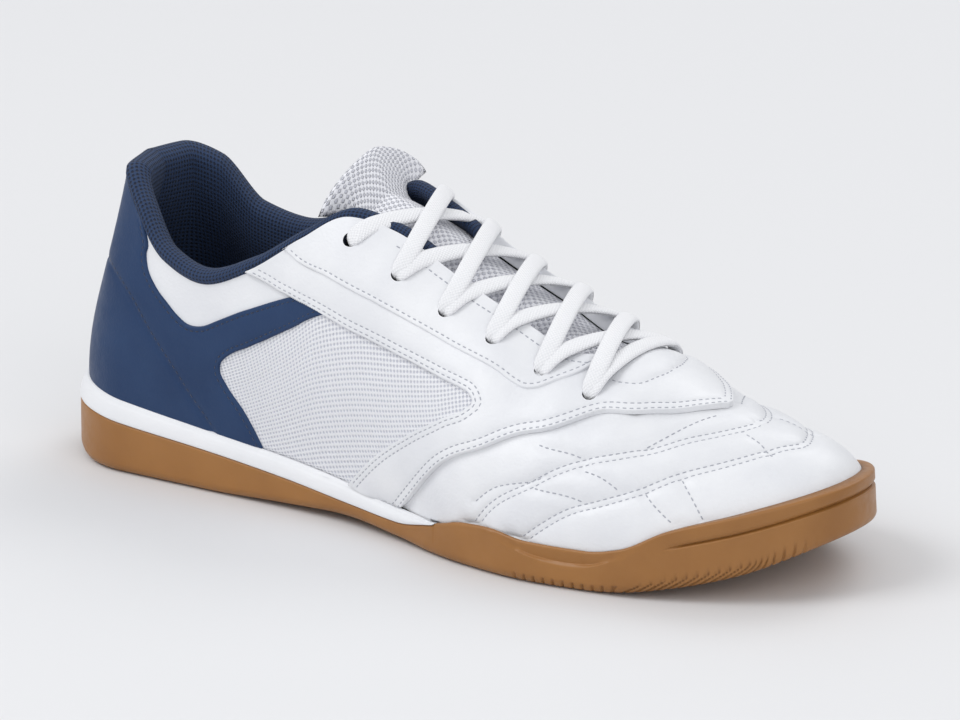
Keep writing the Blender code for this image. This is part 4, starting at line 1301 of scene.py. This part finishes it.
def smooth_row(row, count):
    """Even points along a softened line through one section."""
    dense = even_row(row, 4 * count)
    for _ in range(3 * count):
        dense[1:-1] = (dense[:-2] + 2 * dense[1:-1] + dense[2:]) / 4
    return even_row(dense, count)


def tongue_sections(depth):
    """Sections of one face of the tongue, from its front end under the vamp up to its free top."""
    rows = []
    first, last = TONGUE_ROWS.stations[[0, -1]]
    for share in np.linspace(last, first, TONGUE_STEPS):
        reach = float(TONGUE_ROWS("reach", share))
        sink = WALL + GAP + float(TONGUE_ROWS("sink", share)) * PADDING
        lower = 1 - (1 - TONGUE_SINKS) * smooth_step(share, COLLAR_END, TONGUE_LOWERED)
        crown = lower * float(TONGUE_ROWS("crown", share)) * BALL_WIDTH
        rows.append(tongue_row(share, sink + depth, reach, crown))
    last = rows[-1]
    across = np.linspace(-1, 1, TONGUE_POINTS)
    half = np.ptp(last[:, 1]) / 2
    for rise in np.linspace(0, 1, TONGUE_TOP_ROWS + 1)[1:]:
        row = last.copy()
        flare = rise ** 3 * (TONGUE_WIDTH / 2 / half - 1)
        row[:, 1] *= 1 + flare - TONGUE_PINCH * rise * (1 - rise)
        row[:, 1] += TONGUE_SHIFT * rise ** TONGUE_SHIFT_POWER
        row[:, 0] += rise * TONGUE_RISE * TONGUE_LEAN[0]
        row[:, 2] += rise * TONGUE_RISE * TONGUE_LEAN[1]
        row[:, 2] -= rise * TONGUE_RISE * TONGUE_CORNER * np.abs(across) ** TONGUE_CORNER_POWER
        rows.append(row)
    return np.array(rows)


def make_tongue():
    """Padded mesh tongue, its back in the lining cloth, whose navy is darkened with painted shade."""
    outer = tongue_sections(0.0)
    inner = tongue_sections(TONGUE)
    middle = (outer + inner) / 2
    half = (outer - inner) / 2
    across = np.abs(np.linspace(-1, 1, TONGUE_POINTS))
    ends = np.linspace(0, 1, len(outer))
    round_edge = np.sqrt(np.clip(1 - across ** TONGUE_EDGE_POWER, 0, 1))
    round_end = np.sqrt(np.clip(1 - ends ** TONGUE_END_POWER, 0, 1))
    share = (round_end[:, None] * round_edge[None, :])[..., None]
    thick = TONGUE / 2
    puff = 1 + TONGUE_PUFF / thick * (1 - across ** TONGUE_PUFF_POWER)[None, :, None]
    face = middle + half * share * puff
    back = middle - half * share
    tongue = grids_piece("tongue_cover", [(face, False), (back, True)], "tongue_mesh",
                         ("tongue",), back="lining_cloth")


# Stitches
STITCH_PITCH = 0.0022
STITCH_LENGTH = 0.0014
STITCH_THICK = 0.00055
STITCH_SINK = 0.00006
STITCH_LEVELS = (0.0, 0.985)
STITCH_SIDES = 5
STITCH_RINGS = ((-0.5, 0.35), (-0.32, 1.0), (0.32, 1.0), (0.5, 0.35))


class Sewing:
    """Collects rows of stitches, to be made as one joined mesh."""

    def __init__(self):
        self.vertices = []
        self.faces = []

    def add(self, line, side, cover):
        """Stitches along a line of the chart, laid on a cover."""
        base = surface(line, side)
        points = surface(line, side, cover.depth(base, side) + STITCH_SINK)
        normals = normals_at(line, side)
        travelled = travelled_along(points)
        for spot in np.arange(STITCH_PITCH / 2, travelled[-1] - STITCH_PITCH / 3, STITCH_PITCH):
            ends = [np.array([np.interp(spot + shift, travelled, column) for column in points.T])
                    for shift in (-STITCH_LENGTH / 2, STITCH_LENGTH / 2)]
            out = np.array([np.interp(spot, travelled, column) for column in normals.T])
            way = unit(ends[1] - ends[0])
            across = unit(np.cross(out, way))
            out = np.cross(way, across)
            middle = (ends[0] + ends[1]) / 2
            start = len(self.vertices)
            for place, size in STITCH_RINGS:
                for step in range(STITCH_SIDES):
                    turn = 2 * math.pi * step / STITCH_SIDES
                    radius = STITCH_THICK / 2 * size
                    spoke = across * math.cos(turn) + out * math.sin(turn)
                    self.vertices.append(middle + way * place * STITCH_LENGTH + spoke * radius)
            for ring in range(len(STITCH_RINGS) - 1):
                for step in range(STITCH_SIDES):
                    after = (step + 1) % STITCH_SIDES
                    here, there = start + ring * STITCH_SIDES, start + (ring + 1) * STITCH_SIDES
                    self.faces.append((here + step, there + step, there + after, here + after))
            last = start + (len(STITCH_RINGS) - 1) * STITCH_SIDES
            self.faces.append(tuple(range(start, start + STITCH_SIDES))[::-1])
            self.faces.append(tuple(range(last, last + STITCH_SIDES)))

    def finish(self, name, material, slot):
        uvs = np.array(self.vertices)[:, [0, 2]]
        return new_piece(name, self.vertices, self.faces, uvs, [MATERIALS[material]])


def above(line):
    """The stretch of a line between the sole's rim and the top line."""
    level = line[:, 1] / LEVEL_RUN
    return line[(level > STITCH_LEVELS[0]) & (level < STITCH_LEVELS[1])]


def make_stitches():
    white, navy = Sewing(), Sewing()
    for side in SIDES:
        vamp, counter = COVERS["vamp"][side], COVERS["counter"][side]
        strap, eyestay = COVERS["strap"][side], COVERS["eyestay"][side]
        for row in (ROW_TWO, ROW_THREE):
            for way in (-ROW_HALF, ROW_HALF):
                white.add(above(offset_line(seam(*row), side, way)), side, vamp)
        white.add(above(seam(*SIDE_SEAM)), side, vamp)
        white.add(seam(*THROAT_SEAM), side, strap)
        for row in QUILTING:
            white.add(above(seam(*row)), side, vamp)
        for offset in STRAP_STITCHES:
            white.add(above(offset_line(seam(*STRAP_LOW), side, offset)), side, strap)
        for offset in (ROW_HALF, 3 * ROW_HALF):
            white.add(above(offset_line(seam(*ROW_ONE), side, offset)), side, strap)
        white.add(above(offset_line(seam(*EYESTAY_LOW), side, EDGE_STITCH)), side, eyestay)
        throat = throat_line(side)
        shares = station(np.interp(throat[:, 0], CHART_RUNS, CHART_ALONGS))
        white.add(throat[shares < EYESTAY_FRONT], side, eyestay)
        navy.add(above(offset_line(seam(*HEEL_SEAM), side, HEEL_STITCH)), side, counter)
        for edge in (COUNTER_TOP, COUNTER_LOW):
            navy.add(above(offset_line(seam(*edge), side, -EDGE_STITCH)), side, counter)
    # The white rows take the grey thread, whose colour is painted shade of the stitch holes.
    white.finish("white_stitches", "white_thread", "white_leather")
    navy.finish("navy_stitches", "navy_thread", "navy_leather")


# Eyelet wells and laces
WELL_DEPTH = 0.0050
WELL_TOP = 0.0005


def make_wells():
    """Dark walls of the punched eyelets, in the lining cloth whose navy is darkened with painted shade."""
    grids = []
    for side in SIDES:
        for row, spot in enumerate(EYELET_SPOTS[side]):
            ring = ring_at(spot, side, EYELET_HOLE / 2)
            ring = np.concatenate([ring, ring[:1]])
            top = -(EYELET_HEIGHTS[row] - WELL_TOP)
            columns = [surface(ring, side, depth) for depth in (top, 0.0, WALL, WELL_DEPTH)]
            middle = surface(np.repeat(spot[None], len(ring), 0), side, WELL_DEPTH)
            grids.append((np.stack([*columns, middle], 1), side < 0))
    grids_piece("eyelet_holes", grids, "lining_cloth", weld=0.0)


EYELET_HEIGHTS = [EYESTAY_HEIGHT] * (EYELETS - 1) + [STRAP_HEIGHT]
LACE_WIDTH = 0.0060
LACE_THICKNESS = 0.0021
LACE_RISE = 0.0088
LACE_UNDER = -0.0006
LACE_OVER = 0.0020
LACE_ARCH = 0.68
LACE_SHARES = (0.09, 0.20, 0.34, 0.50, 0.66, 0.80, 0.91)
LACE_SINK = 0.0035
LACE_CLEAR = 0.0010
LACE_DIP = 0.0002
LACE_LEAVES = 0.008
LACE_STEP = 0.0010
LACE_SIDES = 20
LACE_NECK = 0.0045
NECK_WIDTH = 0.0042
NECK_SWELL = 0.25
LACE_POWERS = (0.75, 0.85)


def lace_bar(ends, faces, heights, rise):
    """Flat lace that comes up through one eyelet, arches over the tongue and goes down the other."""
    run = ends[1] - ends[0]
    outward = unit(faces[0] + faces[1])
    seats = [end + face * height for end, face, height in zip(ends, faces, heights)]
    path = [ends[0] - faces[0] * LACE_SINK, seats[0] - faces[0] * LACE_DIP + run * LACE_LEAVES]
    for share in LACE_SHARES:
        arch = (4 * share * (1 - share)) ** LACE_ARCH
        path.append(seats[0] + (seats[1] - seats[0]) * share + outward * rise * arch + outward * LACE_CLEAR)
    path += [seats[1] - faces[1] * LACE_DIP - run * LACE_LEAVES, ends[1] - faces[1] * LACE_SINK]
    line = curve(np.array(path), LACE_STEP)
    travelled = travelled_along(line)
    forward = unit(np.gradient(line, axis=0))
    share = (travelled / travelled[-1])[:, None]
    flat = faces[0] * (1 - share) + faces[1] * share
    wide = np.cross(unit(run), flat)
    wide = unit(wide - forward * np.sum(wide * forward, 1, keepdims=True))
    thick = np.cross(wide, forward)
    near = np.minimum(travelled, travelled[-1] - travelled)
    opened = smooth_step(near, LACE_SINK, LACE_SINK + LACE_NECK)
    width = NECK_WIDTH + (LACE_WIDTH - NECK_WIDTH) * opened
    height = LACE_THICKNESS * (1 + NECK_SWELL * (1 - opened))
    columns = []
    for turn in np.linspace(0, 2 * math.pi, LACE_SIDES, endpoint=False):
        across = np.sign(math.cos(turn)) * abs(math.cos(turn)) ** LACE_POWERS[0]
        upward = np.sign(math.sin(turn)) * abs(math.sin(turn)) ** LACE_POWERS[1]
        columns.append(line + wide * (across * width / 2)[:, None] + thick * (upward * height / 2)[:, None])
    return np.stack(columns, 1)


def make_laces():
    """A straight bar at the front and a cross between each pair of rows."""
    ends = [[surface(EYELET_SPOTS[side][row][None], side)[0] for side in SIDES] for row in range(EYELETS)]
    faces = [[normals_at(EYELET_SPOTS[side][row][None], side)[0] for side in SIDES] for row in range(EYELETS)]
    heights = [[height, height] for height in EYELET_HEIGHTS]
    bars = [lace_bar(ends[-1], faces[-1], heights[-1], LACE_RISE + LACE_UNDER)]
    for row in range(EYELETS - 1):
        below = row + 1
        for first, last, rise in ((row, below, LACE_UNDER), (below, row, LACE_OVER)):
            bars.append(lace_bar(
                (ends[first][0], ends[last][1]), (faces[first][0], faces[last][1]),
                (heights[first][0], heights[last][1]), LACE_RISE + rise,
            ))
    grids = [(bar, False) for bar in bars]
    grids_piece("lace", grids, "lace_braid", ("laces",), closed=True, weld=0.0)


# Sole
OUTLINE_ROWS = 2000
SIDE_STEP = 0.00034
TREAD_ROUND = 0.0035
WHITE_END = 0.560
RIM_ROUND = 0.0009
GROOVE_SHARE = 0.66
GROOVE_START = 0.845
GROOVE_FULL = 0.875
GROOVE_DEEP = 0.0014
GROOVE_HALF = 0.00036
SCOOP_START = 0.635
SCOOP_END = 0.835
SCOOP_HEIGHT = 0.0050
SCOOP_DEEP = 0.0012
RIB_START = 0.66
RIB_END = 0.985
RIB_PITCH = 0.0034
RIB_HEIGHTS = (0.0030, 0.0050)
RIB_FADE = 0.0005
RIB_RISES = (0.80, 0.92)
RIB_SLANTS = (0.79, 0.82, 0.925, 0.955)
RIB_BEGINS = 0.03
RIB_ENDS = 0.02
ROUND_ROWS = 12
RIM_TURNS = 5
EDGE_LEAN = 0.5
SCOOP_LIP = (-0.0003, 0.0005)
SCOOP_FADES = 0.7
HIDDEN_RIM = (0.0, -0.3, -0.7)
RIM_SINK = 0.0005
RIB_LEANS = (0.15, 2.1)
NOTCH = (0.345, 0.425)
RIB_DEEP = 0.0009


def fine_alongs(last=1.0):
    """Stations at even steps of the sole's outline."""
    alongs = np.linspace(0, float(along_of(last)), OUTLINE_ROWS)
    travelled = travelled_along(np.stack(outline_at(station(alongs), -1), 1))
    count = int(travelled[-1] / SIDE_STEP)
    return np.interp(np.linspace(0, travelled[-1], count), travelled, alongs)


def edge_point(share, side, inset, height):
    x, y = inset_outline(share, side, inset)
    return np.stack([x, y, np.broadcast_to(height, np.shape(x))], -1)


WALL_ROWS = 12
GROOVE_ROWS = np.linspace(-0.07, 0.07, 13)
WALL_SHARES = np.unique(np.concatenate([np.linspace(0, 1, WALL_ROWS), GROOVE_SHARE + GROOVE_ROWS]))


def make_outsole():
    """Gum sole: rounded tread edge, side ribs, scoop under the ball, groove round the toe, and tread."""
    alongs = fine_alongs()
    share = station(alongs)
    grids = []
    for side in SIDES:
        bottom = SOLE("bottom", share) * SOLE_HEIGHT
        gum = SOLE("gum", share) * SOLE_HEIGHT
        top = np.where(share <= WHITE_END, gum, SOLE("top", share) * SOLE_HEIGHT)
        edge = np.where(share <= WHITE_END, 0.0, SOLE("edge", share) * BALL_WIDTH)
        travelled = travelled_along(np.stack(outline_at(share, side), 1))
        columns = []
        for turn in np.linspace(0, math.pi / 2, ROUND_ROWS)[:-1]:
            inset = TREAD_ROUND * (1 - math.sin(turn))
            lift = TREAD_ROUND * (1 - math.cos(turn))
            columns.append((inset + 0 * share, bottom + lift))
        tread_top = bottom + TREAD_ROUND
        for part in WALL_SHARES:
            height = tread_top + part * (top - RIM_ROUND - tread_top)
            columns.append((EDGE_LEAN * edge * part, height))
        for turn in np.linspace(0, math.pi / 2, RIM_TURNS)[1:]:
            inset = EDGE_LEAN * edge + RIM_ROUND * (1 - math.cos(turn))
            columns.append((inset, top - RIM_ROUND * (1 - math.sin(turn))))
        made = []
        slanted = smooth_step(share, *RIB_SLANTS[:2]) * (1 - smooth_step(share, *RIB_SLANTS[2:]))
        lean = RIB_LEANS[0] + (RIB_LEANS[1] - RIB_LEANS[0]) * slanted
        ribbed = smooth_step(share, RIB_START, RIB_START + RIB_BEGINS)
        ribbed = ribbed * (1 - smooth_step(share, RIB_END - RIB_ENDS, RIB_END))
        scoop_wide = np.clip((share - SCOOP_START) / (SCOOP_END - SCOOP_START), 0, 1)
        scoop_low = top - SCOOP_HEIGHT * np.sin(math.pi * scoop_wide)
        rib_top = RIB_HEIGHTS[0] + (RIB_HEIGHTS[1] - RIB_HEIGHTS[0]) * smooth_step(share, *RIB_RISES)
        groove = smooth_step(share, GROOVE_START, GROOVE_FULL)
        middle = tread_top + GROOVE_SHARE * (top - tread_top)
        for inset, height in columns:
            above_tread = height - bottom
            phase = (travelled - lean * above_tread) / RIB_PITCH
            notch = smooth_step(np.abs(phase % 1 - 0.5), *NOTCH)
            below_top = 1 - smooth_step(above_tread, rib_top - RIB_FADE, rib_top)
            inset = inset + RIB_DEEP * notch * ribbed * below_top
            inset = inset + GROOVE_DEEP * groove * np.exp(-((height - middle) / GROOVE_HALF) ** 2)
            scooped = smooth_step(height - scoop_low, *SCOOP_LIP) * np.sin(math.pi * scoop_wide)
            fading = 1 - SCOOP_FADES * np.clip((height - scoop_low) / SCOOP_HEIGHT, 0, 1)
            inset = inset + SCOOP_DEEP * scooped * fading
            made.append(edge_point(share, side, inset, height))
        for level in HIDDEN_RIM:
            rim = skin(alongs, side, level, -GAP)
            if level == 0.0:
                rim[:, 2] = np.maximum(top, rim[:, 2] - RIM_SINK)
            made.append(rim)
        grids.append((np.stack(made, 1), side > 0))
    grids_piece("outsole_side", grids, "gum_rubber", ("outsole",))
    make_tread()


TREAD_SPACING = 0.0013
TREAD_PITCH = 0.0062
TREAD_ZIG = 0.0110
TREAD_DEEP = 0.0010
TREAD_LAND = 0.006
TREAD_EDGE = 0.002
TREAD_SLOPE = 1.2
TREAD_NOTCH = (0.30, 0.40)
TREAD_FIELDS = ((0.030, 0.270), (0.530, 0.945))
FIELD_EDGE = 0.006


def on_floor(points):
    """Points of the floor plan, in space."""
    return np.concatenate([points, np.zeros((len(points), 1))], 1)


def from_rim(points, loop):
    """How far inside a closed loop of the floor plan points lie."""
    return distance_to(on_floor(points), on_floor(np.concatenate([loop, loop[:1]])))


def tread_depth(points, loop):
    """How far the tread's grooves go up at points of the floor plan."""
    x, y = points[:, 0], points[:, 1]
    zig = np.abs((y / TREAD_ZIG) % 1 - 0.5) * TREAD_ZIG
    phase = (x + zig * TREAD_SLOPE) / TREAD_PITCH
    groove = smooth_step(np.abs(phase % 1 - 0.5), *TREAD_NOTCH)
    land = smooth_step(from_rim(points, loop), TREAD_LAND - TREAD_EDGE, TREAD_LAND)
    field = 0.0
    for first, last in TREAD_FIELDS:
        share = x / LENGTH
        begun = smooth_step(share, first, first + FIELD_EDGE)
        field = field + begun * (1 - smooth_step(share, last - FIELD_EDGE, last))
    return TREAD_DEEP * groove * land * field


def make_tread():
    """Underside of the gum sole, with zigzag grooves under the heel and ball."""
    share = station(fine_alongs())[::3]
    rims = {side: np.stack(inset_outline(share, side, TREAD_ROUND), 1) for side in SIDES}
    loop = joined(np.concatenate([rims[-1], rims[1][::-1]]))
    places, triangles = triangulate(loop, (), TREAD_SPACING)
    lateral, medial = (np.interp(places[:, 0], rims[side][:, 0], share) for side in SIDES)
    medial_part = np.clip(places[:, 1] / BALL_WIDTH + 0.5, 0, 1)
    under = lateral + (medial - lateral) * medial_part
    height = SOLE("bottom", under) * SOLE_HEIGHT + tread_depth(places, loop)
    vertices = np.concatenate([places, height[:, None]], 1)
    new_piece("tread", vertices, triangles[:, ::-1], places, [MATERIALS["gum_rubber"]])


# The white band's hidden foot, its rounded corners as shares of their size, and how far it stands proud
BAND_THIN = 0.0002
BAND_INSET = 0.002
BAND_LOW = (0.35, 0.6)
BAND_TOP = 1.4
BAND_PROUD = 0.0002
BAND_SWELL = 0.0003
BAND_HIDDEN = (0.0, -0.4, -0.8)


def make_midsole():
    """White band above the gum, which runs out to nothing before the ball."""
    alongs = fine_alongs(WHITE_END)
    share = station(alongs)
    gum = SOLE("gum", share) * SOLE_HEIGHT
    top = SOLE("top", share) * SOLE_HEIGHT
    edge = SOLE("edge", share) * BALL_WIDTH
    deep = np.maximum(top - gum, BAND_THIN)
    corner = np.minimum(RIM_ROUND, deep / 3)
    grids = []
    for side in SIDES:
        columns = [edge_point(share, side, BAND_INSET + 0 * share, gum + 0.1 * corner)]
        for turn in np.linspace(0, math.pi / 2, 4):
            inset = BAND_LOW[0] * corner * (1 - math.sin(turn)) - BAND_PROUD
            height = gum + corner * BAND_LOW[1] * (1 - math.cos(turn)) + BAND_PROUD / 2
            columns.append(edge_point(share, side, inset, height))
        for part in np.linspace(0, 1, 8)[1:-1]:
            inset = edge * part - BAND_PROUD - BAND_SWELL * math.sin(math.pi * part)
            columns.append(edge_point(share, side, inset, gum + corner + part * (deep - 2 * corner)))
        for turn in np.linspace(0, math.pi / 2, 6):
            inset = edge + BAND_TOP * corner * (1 - math.cos(turn))
            columns.append(edge_point(share, side, inset, top - corner * (1 - math.sin(turn))))
        columns += [skin(alongs, side, level, -GAP) for level in BAND_HIDDEN]
        grids.append((np.stack(columns, 1), side > 0))
    grids_piece("midsole_band", grids, "white_foam", ("midsole",))


INSOLE = 0.0040
INSOLE_CUP = 0.0030
INSOLE_SPACING = 0.0030
INSOLE_RIM = 0.014


def make_insole():
    """Cloth-topped insole with a raised rim."""
    alongs = fine_alongs()[::4]
    rims = {side: skin(alongs, side, -1.0, WALL + 2 * GAP)[:, :2] for side in SIDES}
    loop = joined(np.concatenate([rims[-1], rims[1][::-1]]))
    places, triangles = triangulate(loop, (), INSOLE_SPACING)
    cup = INSOLE_CUP * (1 - smooth_step(from_rim(places, loop), 0.0, INSOLE_RIM))
    floor = SOLE("floor", np.clip(places[:, 0] / LENGTH, 0, 1)) * SOLE_HEIGHT + GAP + INSOLE
    vertices = np.concatenate([places, (floor + cup)[:, None]], 1)
    new_piece("insole_cover", vertices, triangles, places, [MATERIALS["insole_cloth"]], ("insole",))


# Stage and lights
FLOOR_HALF = 4.0
FLOOR_DROP = 0.0002
LIGHTS = (
    ("key_light", (-0.9, -1.3, 1.9), 1.5, 22.5),
    ("fill_light", (1.6, -1.1, 1.2), 1.6, 7.5),
    ("back_light", (0.3, 1.6, 1.7), 1.4, 10.0),
)
LIGHT_AIM = Vector((0.10, 0.0, 0.03))
WORLD_COLOUR = (0.935, 0.945, 0.965, 1.0)
WORLD_STRENGTH = 0.71
FLOOR_COLOUR = (0.755, 0.758, 0.770)
FLOOR_ROUGHNESS = 0.7


def make_floor():
    corners = [(x * FLOOR_HALF, y * FLOOR_HALF, -FLOOR_DROP) for x, y in ((-1, -1), (1, -1), (1, 1), (-1, 1))]
    mesh = bpy.data.meshes.new("floor")
    mesh.from_pydata(corners, [], [(0, 1, 2, 3)])
    paint = Paint("floor")
    paint.set({"Base Color": (*FLOOR_COLOUR, 1.0), "Roughness": FLOOR_ROUGHNESS})
    mesh.materials.append(paint.material)
    floor = into_scene("floor", mesh)


def make_lights():
    for name, place, size, power in LIGHTS:
        data = bpy.data.lights.new(name, "AREA")
        data.shape = "DISK"
        data.size = size
        data.energy = power
        light = into_scene(name, data)
        light.location = place
        light.rotation_mode = "QUATERNION"
        light.rotation_quaternion = (LIGHT_AIM - Vector(place)).to_track_quat("-Z", "Y")
    world = bpy.data.worlds.new("studio")
    world.use_nodes = True
    backdrop = world.node_tree.nodes["Background"]
    backdrop.inputs["Color"].default_value = WORLD_COLOUR
    backdrop.inputs["Strength"].default_value = WORLD_STRENGTH
    bpy.context.scene.world = world
    bpy.context.scene.view_settings.view_transform = "Standard"


make_vamp()
make_counter()
make_strap()
make_eyestays()
make_throat_edge()
make_lining()
make_collar()
make_tongue()
make_wells()
make_laces()
make_outsole()
make_midsole()
make_insole()
make_stitches()
make_floor()
make_lights()
